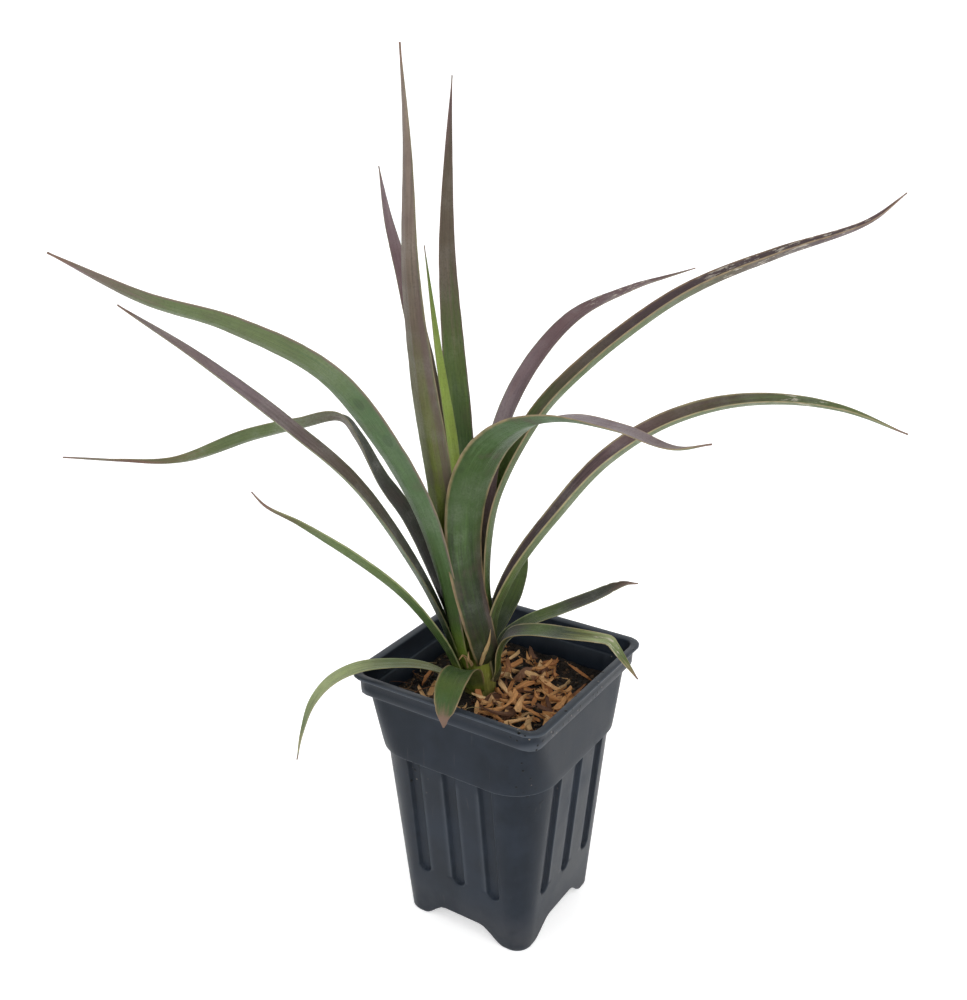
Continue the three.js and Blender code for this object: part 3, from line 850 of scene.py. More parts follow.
def chip_tree(material):
    """Torn bark shreds of several shapes, lying at all angles on each other."""
    nodes = Nodes("bark shreds", {"Density": 60000.0, "Pile": 0.004, "Seed": 0})
    points = nodes.scattered("chip_share")
    rise = nodes.random(0.0, 1.0, 11)
    rise = calculate(nodes.tree, "MULTIPLY", calculate(nodes.tree, "POWER", rise, 1.6), nodes.input["Pile"])
    lift = nodes.add("ShaderNodeCombineXYZ", {"Z": rise}).outputs[0]
    points = nodes.add("GeometryNodeSetPosition", {"Geometry": points, "Offset": lift}).outputs[0]
    shapes = nodes.add("GeometryNodeGeometryToInstance")
    for bend, twist, narrow, wave in SHRED_SHAPES:
        nodes.tree.links.new(shred(nodes, bend, twist, narrow, wave), shapes.inputs[0])
    inputs = {
        "Points": points, "Instance": shapes.outputs[0], "Pick Instance": True,
        "Rotation": nodes.random((-0.9, -0.42, 0.0), (0.9, 0.42, 6.28), 13),
        "Scale": nodes.random((0.005, 0.0011, 0.0004), (0.0165, 0.0036, 0.0010), 17),
    }
    chips = nodes.add("GeometryNodeInstanceOnPoints", inputs).outputs["Instances"]
    chips = nodes.stored(chips, "tone", nodes.random(0.0, 1.0, 19), "INSTANCE")
    return nodes.finish(chips, material, SOIL_TOP - 0.004)


def fibre_tree(material):
    """Thin dry fibres and rootlets, each a short bent tube."""
    nodes = Nodes("dry fibres", {"Density": 20000.0, "Thickness": 0.00016, "Seed": 0})
    points = nodes.scattered("fibre_share")
    circle = {"Resolution": 5, "Radius": nodes.input["Thickness"]}
    profile = nodes.add("GeometryNodeCurvePrimitiveCircle", circle)
    shapes = nodes.add("GeometryNodeGeometryToInstance")
    for reach, bow, rise in ((1.0, 0.5, 0.1), (0.8, -0.7, 0.35), (1.1, 0.2, 0.5), (0.6, 0.9, -0.1)):
        inputs = {
            "Resolution": 7, "Start": (-0.008 * reach, 0.0, 0.0), "Middle": (0.0, 0.008 * bow, 0.006 * rise),
            "End": (0.008 * reach, 0.0, 0.004 * rise),
        }
        curve = nodes.add("GeometryNodeCurveQuadraticBezier", inputs).outputs["Curve"]
        tube = nodes.add(
            "GeometryNodeCurveToMesh",
            {"Curve": curve, "Profile Curve": profile.outputs["Curve"], "Fill Caps": True},
        ).outputs["Mesh"]
        nodes.tree.links.new(tube, shapes.inputs[0])
    lift = nodes.add("ShaderNodeCombineXYZ", {"Z": nodes.random(0.0, 0.003, 23)}).outputs[0]
    points = nodes.add("GeometryNodeSetPosition", {"Geometry": points, "Offset": lift}).outputs[0]
    inputs = {
        "Points": points, "Instance": shapes.outputs[0], "Pick Instance": True,
        "Rotation": nodes.random((-0.3, -0.25, 0.0), (0.3, 0.25, 6.28), 29),
        "Scale": nodes.random(0.4, 1.3, 31),
    }
    fibres = nodes.add("GeometryNodeInstanceOnPoints", inputs).outputs["Instances"]
    fibres = nodes.stored(fibres, "tone", nodes.random(0.0, 1.0, 37), "INSTANCE")
    return nodes.finish(fibres, material, SOIL_TOP - 0.003)


def crumb_material():
    """Crumbs of soil that differ a little in colour from one to the next."""
    material, tree, shader = new_material("soil crumb", Specular_IOR_Level=0.3)
    place = object_place(tree)
    tone = stored_value(tree, "tone")
    rough = noise_of(tree, place, 1500.0, 3.0, 0.6)
    stops = [
        (0.0, (22, 18, 14)), (0.6, "soil"), (0.86, "soil light"), (0.97, (104, 78, 54)), (1.0, "dry tan"),
    ]
    colour = ramp(tree, tone, stops)
    colour = blend(tree, spread(tree, rough, 0.3, 0.8, 0.0, 0.5), colour, linear("soil light"))
    finish_material(tree, shader, colour, spread(tree, rough, 0.3, 0.7, 0.6, 0.95), rough, 0.0005)
    return material


def bark_material():
    """Torn bark: its colour differs from shred to shred, with fine grain along each one."""
    material, tree, shader = new_material("torn bark", Specular_IOR_Level=0.3)
    grain = add_node(tree, "ShaderNodeAttribute", attribute_name="grain").outputs["Vector"]
    place = object_place(tree)
    tone = stored_value(tree, "tone")
    stops = [
        (0.0, (86, 58, 44)), (0.12, (132, 98, 74)), (0.24, (176, 118, 74)), (0.45, (208, 148, 92)),
        (0.75, (224, 172, 116)), (1.0, (234, 196, 144)),
    ]
    colour = ramp(tree, tone, stops)
    offset = add_node(tree, "ShaderNodeVectorMath", {0: grain, 1: tone}, operation="ADD").outputs[0]
    lines = noise_of(tree, stretched(tree, offset, (3.0, 16.0, 5.0)), 1.0, 4.0, 0.65)
    stain = noise_of(tree, place, 420.0, 3.0)
    colour = blend(tree, spread(tree, lines, 0.46, 0.7, 0.0, 0.55), colour, linear("bark brown"))
    colour = blend(tree, spread(tree, stain, 0.56, 0.74, 0.0, 0.5), colour, linear("bark brown"))
    finish_material(tree, shader, colour, spread(tree, lines, 0.3, 0.7, 0.7, 0.92), lines, 0.0004)
    return material


def fibre_material():
    """Dry fibre, straw to brown from one to the next."""
    material, tree, shader = new_material("dry fibre", Specular_IOR_Level=0.3)
    place = object_place(tree)
    tone = stored_value(tree, "tone")
    colour = ramp(tree, tone, [(0.0, "bark brown"), (0.4, (134, 96, 64)), (0.75, "dry tan"), (1.0, "straw")])
    mottle = noise_of(tree, place, 700.0, 2.0)
    colour = blend(tree, spread(tree, mottle, 0.5, 0.75, 0.0, 0.6), colour, linear("soil light"))
    finish_material(tree, shader, colour, spread(tree, mottle, 0.3, 0.7, 0.6, 0.85), mottle, 0.0001)
    return material


def large_shred(node, index, material):
    """A large bark shred, where and as long as the frame has it, with a curled torn strip's shape."""
    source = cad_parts[node].data
    points = np.array([tuple(v.co) for v in source.vertices])
    middle = points.mean(axis=0)
    _, _, axes = np.linalg.svd(points - middle)
    along = Vector(axes[0])
    across = Vector((0, 0, 1)).cross(along).normalized()
    if along.z < 0:
        along = -along
    up = along.cross(across)
    reach = (points - middle) @ np.array(along)
    spread_across = (points - middle) @ np.array(across)
    half = 0.5 * (reach.max() - reach.min())
    side = 0.5 * (spread_across.max() - spread_across.min())
    stations, columns = 17, 7
    vertices, grain = [], []
    for layer in (1.0, -1.0):
        for i in range(stations):
            t = 2.0 * i / (stations - 1) - 1.0
            for j in range(columns):
                u = 2.0 * j / (columns - 1) - 1.0
                seed = Vector((t * 1.7, u * 2.3, index * 9.1))
                torn = 0.75 + 0.5 * noise.noise(seed * 1.3)
                width = side * (1.0 - 0.7 * abs(t) ** 2.5) * torn
                length = half * (1.0 - 0.12 * abs(noise.noise(Vector((u * 4.0, index, t)))) * abs(t))
                curl = 0.0010 * (t * t) * math.cos(index * 2.1) + 0.0008 * u * u
                curl += 0.0006 * t * u * math.sin(index)
                ridge = 0.00016 * noise.noise(Vector((t * 3.0, u * 9.0, index)))
                thick = 0.00042 * (1.0 - 0.75 * max(abs(u), abs(t)) ** 4)
                spot = Vector(middle) + along * (t * length) + across * (u * width)
                vertices.append(spot + up * (curl + ridge + layer * thick + 0.0004))
                grain.append((t * 0.5, u * 0.5, 0.1 * layer))
    faces = []
    sheet = stations * columns
    for i in range(stations - 1):
        for j in range(columns - 1):
            a = i * columns + j
            quad = (a, a + 1, a + columns + 1, a + columns)
            faces.append(quad[::-1])
            faces.append(tuple(v + sheet for v in quad))
    rim = list(range(columns)) + [i * columns + columns - 1 for i in range(1, stations)]
    rim += [(stations - 1) * columns + j for j in range(columns - 2, -1, -1)]
    rim += [i * columns for i in range(stations - 2, 0, -1)]
    for a, b in zip(rim, rim[1:] + rim[:1]):
        faces.append((a, b, b + sheet, a + sheet))
    chip = mesh_object(node.replace("bark_chip", "bark_shred"), vertices, faces, 50.0)
    store(chip.data, "tone", [(index * GOLDEN_STEP + 0.35) % 1.0] * len(vertices))
    layer = chip.data.attributes.new("grain", "FLOAT_VECTOR", "POINT")
    layer.data.foreach_set("vector", np.array(grain, dtype=np.float32).ravel())
    chip.data.materials.append(material)
    return chip


class YUCCA_OT_litter(bpy.types.Operator):
    """Scatter crumbs, bark shreds and dry fibres on the soil, and build the larger shreds"""

    bl_idname = "yucca.litter"
    bl_label = "Crumbs, bark and fibres"

    def execute(self, context):
        settings = context.scene.yucca_soil
        crumbs = scatter("soil_crumbs", crumb_tree(crumb_material()), {"Density": settings.crumbs, "Seed": 4})
        keep(crumbs, "soil")
        bark = bark_material()
        shreds = scatter("bark_shreds", chip_tree(bark), {"Density": settings.chips, "Seed": 12})
        keep(shreds, "bark")
        fibres = scatter("dry_fibres", fibre_tree(fibre_material()), {"Density": settings.fibres, "Seed": 8})
        keep(fibres, "bark")
        for index, node in enumerate(CHIP_NODES):
            keep(large_shred(node, index, bark), "bark", node)
        return {"FINISHED"}


# ------------------------------------------------------------------ stem


def stem_mesh(settings):
    """The short swollen stem, ridged lengthways and ringed where old leaves stood."""
    profile = [(4.5, 100), (6, 108), (7, 116), (7.1, 122), (6.2, 132), (4.8, 146), (3.6, 160), (2.4, 174)]
    heights = np.linspace(profile[0][1], profile[-1][1], 90)
    radii = np.interp(heights, [z for _, z in profile], [r for r, _ in profile])
    around = 64
    vertices = []
    for z, radius in zip(heights, radii):
        ring = 0.25 * (1.0 - abs(math.sin(z * 0.42))) ** 3
        for step in range(around):
            angle = 2 * math.pi * step / around
            ridge = 0.16 * noise.noise(Vector((math.cos(angle) * 6, math.sin(angle) * 6, z * 0.03)))
            lump = 0.35 * noise.noise(Vector((math.cos(angle), math.sin(angle), z * 0.12)))
            reach = (radius * settings.swelling + ridge + lump - ring) * MM
            x = STEM_AXIS[0] + reach * math.cos(angle)
            vertices.append((x, STEM_AXIS[1] + reach * math.sin(angle), z * MM))
    faces = ring_faces(len(heights), around)
    faces.append(tuple(range(around))[::-1])
    last = (len(heights) - 1) * around
    faces.append(tuple(last + step for step in range(around)))
    return mesh_object("swollen_stem", vertices, faces, 60.0)


def stem_material():
    """Smooth yellow-green skin, browner near the soil, with fine lengthways lines."""
    material, tree, shader = new_material("stem skin", Specular_IOR_Level=0.4)
    place = object_place(tree)
    height = add_node(tree, "ShaderNodeSeparateXYZ", {"Vector": place}).outputs["Z"]
    lines = noise_of(tree, stretched(tree, place, (1500.0, 1500.0, 120.0)), 1.0, 3.0, 0.6)
    mottle = noise_of(tree, place, 240.0, 4.0, 0.6)
    level = spread(tree, height, 0.113, 0.165)
    stops = [(0.0, (92, 90, 40)), (0.2, (124, 128, 50)), (0.6, (118, 134, 52)), (1.0, "moss")]
    colour = ramp(tree, level, stops)
    colour = blend(tree, spread(tree, mottle, 0.48, 0.72, 0.0, 0.7), colour, linear((88, 76, 44)))
    colour = blend(tree, spread(tree, lines, 0.5, 0.72, 0.0, 0.4), colour, linear((150, 156, 80)))
    finish_material(tree, shader, colour, spread(tree, mottle, 0.3, 0.7, 0.42, 0.62), lines, 0.0003)
    return material


class YuccaStemSettings(bpy.types.PropertyGroup):
    """Size of the stem."""

    swelling: bpy.props.FloatProperty(
        name="Swelling", description="The stem's thickness as a share of the usual one", default=1.1,
        subtype="FACTOR",
    )


class YUCCA_OT_stem(bpy.types.Operator):
    """Build the swollen stem that the leaves clasp"""

    bl_idname = "yucca.stem"
    bl_label = "Stem"

    def execute(self, context):
        stem = stem_mesh(context.scene.yucca_stem)
        stem.data.materials.append(stem_material())
        keep(stem, "stem_skin", "stem")
        return {"FINISHED"}


# ------------------------------------------------------------------ leaves

# Each leaf leaves the stem on a heading in degrees, anticlockwise from +X. Its path lists
# (distance out from the stem's axis, height, sideways shift) in millimetres from base to tip.
# "cup" is how deep its channel is for its width, and "taper" how late it narrows. "twist" turns the
# blade about its midrib at equal steps from base to tip. "under" and "over" name the colours of
# the outer and the inner face at equal steps from base to tip. "ragged" is (start, end, depth)
# of a torn stretch of margin, "scars" and "spots" are stretches with pale scars or dark spots.
# "streaks", "blush" and "bloom" are the strength of the streaks, the purple flush and the waxy
# bloom, and "rim" is the colour beside the margin. "dry" is where the dried tip starts, "foot" how
# fresh and yellow-green the base is, and "flank" how purple one half of the blade is and how far
# that reaches from the base.
LEAVES = [
    {
        "name": "leaf_tall_left", "heading": 268, "width": 15, "cup": 0.2, "taper": 1.2,
        "twist": (0, 0, 0, 0),
        "path": [
            (4, 140, -4), (3, 150, -9), (5, 166, -12), (13, 220, -12),
            (23, 272, -12), (28, 317, -12), (27, 359, -12), (29, 399, -12),
        ],
        "under": ("fresh", "fresh", "olive", "taupe", "warm grey", "warm grey"),
        "over": ("moss", "moss", "taupe", "plum", "plum"),
        "streaks": 0.75, "spots": (0.1, 0.3), "blush": 0.2, "flank": (0.75, 0.6),
    },
    {
        "name": "leaf_tall_right", "heading": 143, "width": 11.5, "cup": 0.2, "taper": 1.5,
        "twist": (0, 0, 0, 0),
        "path": [(5.5, 150), (9, 162), (15, 195), (22, 232), (31, 272), (37, 315), (31, 360), (25, 386)],
        "under": ("moss", "moss", "grey green", "taupe", "plum"),
        "over": ("moss", "deep green", "deep green", "moss", "taupe", "taupe", "plum"),
        "streaks": 0.5, "rim": "plum",
    },
    {
        "name": "leaf_young_spear", "heading": 173, "width": 7, "cup": 0.3, "taper": 1.5,
        "twist": (0, 0, 0, 0),
        "path": [(4, 162), (7, 176), (11, 198), (15, 234), (22, 276), (28, 319)],
        "under": ("spring", "spring", "spring", "olive"), "over": ("spring", "spring", "spring", "moss"),
        "streaks": 0.4,
    },
    {
        "name": "leaf_behind_left", "heading": 158, "width": 11.5, "cup": 0.2, "taper": 2.4,
        "twist": (0, 0, 0, 0),
        "path": [(6.5, 144), (13, 164), (28, 216), (41, 260), (55, 295), (69, 325), (75, 347)],
        "under": ("moss", "olive", "grey green", "plum"),
        "over": ("olive", "olive", "taupe", "plum", "mauve"),
        "streaks": 0.5,
    },
    {
        "name": "leaf_long_left_arch", "heading": 240, "width": 15.5, "cup": 0.16, "taper": 2.8,
        "twist": (0, 24, 38, 40),
        "path": [
            (8.5, 132), (12, 147), (17, 175), (26, 208), (41, 240),
            (65, 275), (101, 299.5), (134, 314), (164, 333),
        ],
        "under": ("deep green", "deep green", "blue green", "blue green", "grey green", "grey green", "plum"),
        "over": ("moss", "taupe", "plum", "plum"), "streaks": 0.35, "spots": (0.42, 0.62), "rim": "plum",
    },
    {
        "name": "leaf_mid_left", "heading": 221, "width": 13, "cup": 0.22, "taper": 3,
        "twist": (0, -6, -12, -12),
        "path": [(9, 127), (12, 139), (18, 157), (32, 187), (53, 221), (77, 246), (112, 278), (143, 303)],
        "under": ("forest", "deep green", "grey green", "grey green", "taupe"),
        "over": ("deep green", "slate", "taupe", "mauve", "warm grey"), "streaks": 0.5, "bloom": 0.5,
    },
    {
        "name": "leaf_folded_left", "heading": 188, "width": 12, "cup": 0.2, "taper": 2,
        "twist": (0, 0, 0, 30, 46, 42, 20),
        "path": [
            (8, 131), (12, 145), (21, 167), (36, 197), (49, 213), (60, 232), (66, 241, 3),
            (79, 240, 16), (98, 236, 29), (122, 228, 50), (141, 230, 64), (159, 234, 80),
        ],
        "under": (
            "forest", "moss", "slate", "slate", "taupe", "grey green", "grey green", "rust", "taupe",
        ),
        "over": ("soot", "soot", "slate", "slate", "plum", "plum"), "streaks": 0.5, "bloom": 0.7,
    },
    {
        "name": "leaf_low_left", "heading": 237, "width": 10.5, "cup": 0.2, "taper": 2.4,
        "twist": (0, 12, 26, 24),
        "path": [(9.5, 124), (13, 133), (19, 146), (38, 174), (58, 194), (81, 214), (94, 224), (99, 231)],
        "under": ("forest", "deep green", "moss", "moss", "rust"),
        "over": ("forest", "deep green", "deep green", "moss", "warm grey"),
        "streaks": 0.4, "rim": "pale green", "dry": 0.93,
    },
    {
        "name": "leaf_drooping_left", "heading": 233, "width": 9, "cup": 0.12, "taper": 1.8,
        "twist": (0, 0, -6, -10),
        "path": [
            (10, 120.5), (20, 129), (30, 134), (45, 137.5), (58, 138),
            (70, 134), (79, 125), (85, 110), (88, 97),
        ],
        "under": ("moss", "grey green", "grey green", "grey green"),
        "over": ("olive", "olive", "grey green", "pale green", "pale green", "grey green", "straw"),
        "streaks": 0.35, "rim": "pale green",
    },
    {
        "name": "leaf_short_front", "heading": 287, "width": 14, "cup": 0.12, "taper": 4.2,
        "twist": (0, 0, 0, 0),
        "path": [(9.5, 121.5), (15.5, 131), (24, 139), (34, 142.5), (43, 142), (50, 137.5), (54.5, 127.5)],
        "under": ("moss", "moss", "moss", "olive", "rust"),
        "over": ("fresh", "moss", "deep green", "deep green", "moss", "deep green", "rust"),
        "streaks": 0.6, "rim": "dry tan", "ragged": (0.86, 1.0, 0.5), "dry": 0.93,
    },
    {
        "name": "leaf_kinked_right", "heading": 7, "width": 11, "cup": 0.16, "taper": 2.4,
        "twist": (20, 4, 0, 10),
        "path": [
            (9, 129), (10.5, 140), (15, 147.5), (25, 151.5), (42, 153.5), (58, 155),
            (63.5, 155), (65.5, 153), (71, 146.5), (77, 139.5),
        ],
        "under": ("forest", "moss", "olive", "olive", "dry tan"),
        "over": (
            "deep green", "forest", "slate", "moss", "forest", "olive", "pale green", "moss", "dry tan",
        ),
        "streaks": 0.7, "rim": "straw", "scars": (0.7, 0.85), "foot": 0.2,
    },
    {
        "name": "leaf_small_right", "heading": 53, "width": 10.5, "cup": 0.18, "taper": 4,
        "twist": (0, 0, 0, 0),
        "path": [(8.5, 130), (13, 139.5), (24, 145.5), (40, 149), (58, 153), (73, 157), (81, 156)],
        "under": ("forest", "deep green", "moss", "rust"),
        "over": ("forest", "forest", "moss", "slate", "slate", "rust"), "streaks": 0.5, "bloom": 0.4,
        "ragged": (0.8, 1.0, 0.35), "dry": 0.95, "rim": "pale green",
    },
    {
        "name": "leaf_broad_front", "heading": 341, "width": 18.5, "cup": 0.17, "taper": 1.9,
        "twist": (-4, -6, -12, -28, -22, -12, -7, -2, 4),
        "path": [
            (8.5, 139, -2), (8.5, 154, -6), (5.5, 174, -9), (3.5, 195, -10), (6, 219, -9), (17, 239, -8),
            (38, 256, -8), (64, 266, -8), (94, 269, -8), (121, 269, -8), (138, 275, -8),
        ],
        "under": (
            "soot", "forest", "deep green", "deep green",
            "blue green", "blue green", "grey green", "grey green",
        ),
        "over": ("moss", "taupe", "mauve", "mauve", "mauve", "warm grey"),
        "streaks": 0.5, "rim": "dry tan", "bloom": 0.3, "blush": 0.8, "spots": (0.1, 0.5), "foot": 0.1,
        "flank": (0.6, 0.2),
    },
    {
        "name": "leaf_long_right", "heading": 25, "width": 13.5, "cup": 0.34, "taper": 2.2,
        "twist": (3, 7, 8, 4),
        "path": [
            (8, 127), (6, 140), (7, 156), (16, 178), (33, 204),
            (56, 232), (83, 251), (115, 260), (150, 258), (178, 248),
        ],
        "under": ("soot", "moss", "grey green", "grey green", "grey green", "grey green"),
        "over": ("soot", "dark plum", "dark plum", "plum", "taupe", "grey green", "olive"),
        "streaks": 0.5, "rim": "straw", "scars": (0.8, 0.88), "bloom": 0.4, "foot": 0.1,
    },
    {
        "name": "leaf_upper_right", "heading": 48, "width": 13, "cup": 0.34, "taper": 3.5,
        "twist": (0, -4, -5, -2),
        "path": [
            (5.5, 148), (3, 168), (4, 192), (9, 214), (28, 248),
            (53, 271), (94, 297), (136, 311), (180, 323), (197, 334.5),
        ],
        "under": ("deep green", "moss", "moss", "moss", "grey green", "taupe", "dark plum", "plum"),
        "over": ("moss", "moss", "moss", "taupe", "dark plum", "dark plum", "dark plum", "plum"),
        "streaks": 0.5, "rim": "dry tan", "scars": (0.68, 0.95), "ragged": (0.75, 0.97, 0.14), "foot": 0.2,
    },
    {
        "name": "leaf_purple_right", "heading": 76, "width": 9.8, "cup": 0.24, "taper": 2.2,
        "twist": (0, 0, 8, 0),
        "path": [(4, 155), (3, 172), (7, 210), (15, 241), (32, 264), (59, 282), (97, 289.5), (147, 293)],
        "under": ("blue green", "blue green", "plum", "mauve"),
        "over": ("grey green", "plum", "mauve", "plum", "plum", "rust"),
        "streaks": 0.4, "scars": (0.7, 0.85), "ragged": (0.75, 0.98, 0.12), "bloom": 0.4,
    },
    {
        "name": "leaf_short_back", "heading": 88, "width": 8.5, "cup": 0.18, "taper": 1.8,
        "twist": (0, 0, 0, 0),
        "path": [(9, 128), (12.5, 138), (21, 145.5), (31, 153.5), (38, 165), (38, 177.5)],
        "under": ("forest", "deep green", "moss"),
        "over": ("forest", "forest", "moss", "moss"), "streaks": 0.5,
    },
]

# Torn dry sheaths of old leaves, which stand round the crown of the stem.
SHEATHS = [
    {
        "heading": 315, "width": 2.2,
        "path": [(10.4, 134, -1.5), (11.6, 140, 0), (12.2, 146, 2), (11.4, 152, 3)],
    },
    {"heading": 282, "width": 1.9, "path": [(9.6, 133), (12.0, 136), (13.6, 138), (13.6, 142)]},
    {"heading": 268, "width": 1.8, "path": [(9.0, 131), (10.4, 136), (13.0, 139), (16.0, 138)]},
    {"heading": 222, "width": 2.4, "path": [(9.6, 119), (12.0, 122), (15.0, 124), (18.0, 123)]},
]

WIDEST_AT = 0.4
FOOT_STATIONS = 6  # stations that run from a leaf's base down into the stem
FOOT_LENGTH = 8.0
FOOT_INWARD = 3.4  # how far that stretch leans towards the stem


def half_width(t, taper):
    """A blade's half-width as a share of its width: a narrower base, then a taper to a point."""
    base = 0.72 + 0.28 * math.sin(math.pi / 2 * min(t / WIDEST_AT, 1.0))
    point = 1.0 if t < WIDEST_AT else 1.0 - ((t - WIDEST_AT) / (1.0 - WIDEST_AT)) ** taper
    return base * max(point, 0.04) / 2.0


def value_along(values, t):
    """The value at t, where values stand at equal steps from 0 to 1."""
    return float(np.interp(t, np.linspace(0, 1, len(values)), values))


def smooth_curve(points, count):
    """count points at equal distances on a centripetal Catmull-Rom curve, and their tangents."""
    points = [np.array(p, float) for p in points]
    ends = [2 * points[0] - points[1], *points, 2 * points[-1] - points[-2]]
    fine = []
    for p0, p1, p2, p3 in zip(ends, ends[1:], ends[2:], ends[3:]):
        d0, d1, d2 = (np.linalg.norm(b - a) ** 0.5 for a, b in ((p0, p1), (p1, p2), (p2, p3)))
        slope1 = ((p1 - p0) / d0 - (p2 - p0) / (d0 + d1) + (p2 - p1) / d1) * d1
        slope2 = ((p2 - p1) / d1 - (p3 - p1) / (d1 + d2) + (p3 - p2) / d2) * d1
        for s in np.linspace(0, 1, 60, endpoint=False):
            a = 2 * s**3 - 3 * s**2 + 1
            b = s**3 - 2 * s**2 + s
            c = 3 * s**2 - 2 * s**3
            d = s**3 - s**2
            fine.append(a * p1 + b * slope1 + c * p2 + d * slope2)
    fine.append(points[-1])
    fine = np.array(fine)
    travelled = np.concatenate([[0], np.cumsum(np.linalg.norm(np.diff(fine, axis=0), axis=1))])
    wanted = np.linspace(0, travelled[-1], count)
    even = np.column_stack([np.interp(wanted, travelled, fine[:, axis]) for axis in range(3)])
    tangents = np.gradient(even, axis=0)
    return even, tangents / np.linalg.norm(tangents, axis=1)[:, None], travelled[-1]


def across_stations():
    """Places across a blade from one margin to the other, closest together at the margins."""
    half = [0.0, 0.1, 0.22, 0.36, 0.5, 0.64, 0.77, 0.87, 0.94, 0.98, 1.0]
    return np.array([-u for u in half[:0:-1]] + half)


def blade(name, leaf, settings, rooted=True):
    """A leaf blade swept along its midrib as a rounded channel with a thick midrib."""
    heading = math.radians(leaf["heading"])
    out = np.array([math.cos(heading), math.sin(heading), 0.0])
    side = np.array([-out[1], out[0], 0.0])
    axis = np.array([STEM_AXIS[0] / MM, STEM_AXIS[1] / MM, 0.0])
    path = [axis + out * p[0] + side * (p[2] if len(p) > 2 else 0.0) + (0, 0, p[1]) for p in leaf["path"]]
    rough_length = sum(np.linalg.norm(b - a) for a, b in zip(path, path[1:]))
    count = int(max(24, rough_length / (settings.station_spacing / MM)))
    centres, tangents, length = smooth_curve(path, count)
    stations = np.linspace(0, 1, count)
    places = [(t, centre, tangent, 0.0) for t, centre, tangent in zip(stations, centres, tangents)]
    if rooted:
        root = []
        for step in range(FOOT_STATIONS, 0, -1):
            down = step / FOOT_STATIONS
            inward = -out * (FOOT_INWARD * down * down)
            centre = centres[0] - tangents[0] * FOOT_LENGTH * down + inward
            root.append((-FOOT_LENGTH * down / length, centre, tangents[0], down))
        places = root + places
    across_u = across_stations()
    seed = sum(ord(letter) for letter in name) * 0.37
    vertices, along_values, across_values, over_values, distances = [], [], [], [], []
    for t, centre, tangent, down in places:
        held = max(t, 0.0)
        across = side - tangent * np.dot(side, tangent)
        across /= np.linalg.norm(across)
        turn = math.radians(value_along(leaf.get("twist", (0, 0)), held))
        across = across * math.cos(turn) + np.cross(tangent, across) * math.sin(turn)
        inward = np.cross(tangent, across)
        half = leaf["width"] * half_width(held, leaf.get("taper", 1.7)) * (1.0 - 0.25 * down)
        reach = t * length
        depth = 2 * half * leaf.get("cup", 0.2)
        rib = settings.midrib / MM * (1.0 - 0.6 * held) * (1.0 - 0.5 * down)
        rim = settings.margin / MM
        ragged = leaf.get("ragged")
        for layer in (1.0, -1.0):
            for u in across_u[:: int(layer)]:
                sway = noise.noise(Vector((reach / 26.0, u * 0.4, seed)))
                edge = 1.0 + 0.03 * noise.noise(Vector((reach / 7.0, math.copysign(3.0, u), seed)))
                if ragged and ragged[0] < held < ragged[1]:
                    tear = noise.noise(Vector((reach / 2.2, math.copysign(5.0, u), seed)))
                    edge -= ragged[2] * max(tear, 0.0)
                channel = depth * (abs(u) ** 1.45) - depth / 2
                thick = rim + (rib - rim) * (0.25 * (1 - u * u) + 0.75 * math.exp(-((u / 0.3) ** 2)))
                thick *= math.sqrt(max(1.0 - (abs(u) ** 24), 0.12))
                vein = 0.05 * math.sin(u * 34.0 + seed) * (1 - u**4)
                lift = channel + layer * thick / 2 + 0.25 * sway + (vein if layer > 0 else 0.0)
                vertices.append((centre + across * (half * u * edge) + inward * lift) * MM)
                along_values.append(held)
                across_values.append(u)
                over_values.append(1.0 if layer > 0 else 0.0)
                distances.append((reach * MM, u * half * MM))
    columns = 2 * len(across_u)
    faces = [face[::-1] for face in ring_faces(len(places), columns)]
    last = (len(places) - 1) * columns
    for u in range(len(across_u) - 1):
        far = columns - 1 - u
        faces.append((u, u + 1, far - 1, far))
        faces.append((last + far, last + far - 1, last + u + 1, last + u))
    built = mesh_object(name, vertices, faces, 48.0)
    store(built.data, "along", along_values)
    store(built.data, "across", across_values)
    store(built.data, "over", over_values)
    chart = built.data.uv_layers.new(name="blade")
    corners = np.zeros(len(built.data.loops), dtype=np.int32)
    built.data.loops.foreach_get("vertex_index", corners)
    chart.data.foreach_set("uv", np.array(distances, dtype=np.float32)[corners].ravel())
    return built


def colour_stops(names):
    """Ramp stops for colours at equal steps."""
    return [(index / (len(names) - 1), name) for index, name in enumerate(names)]


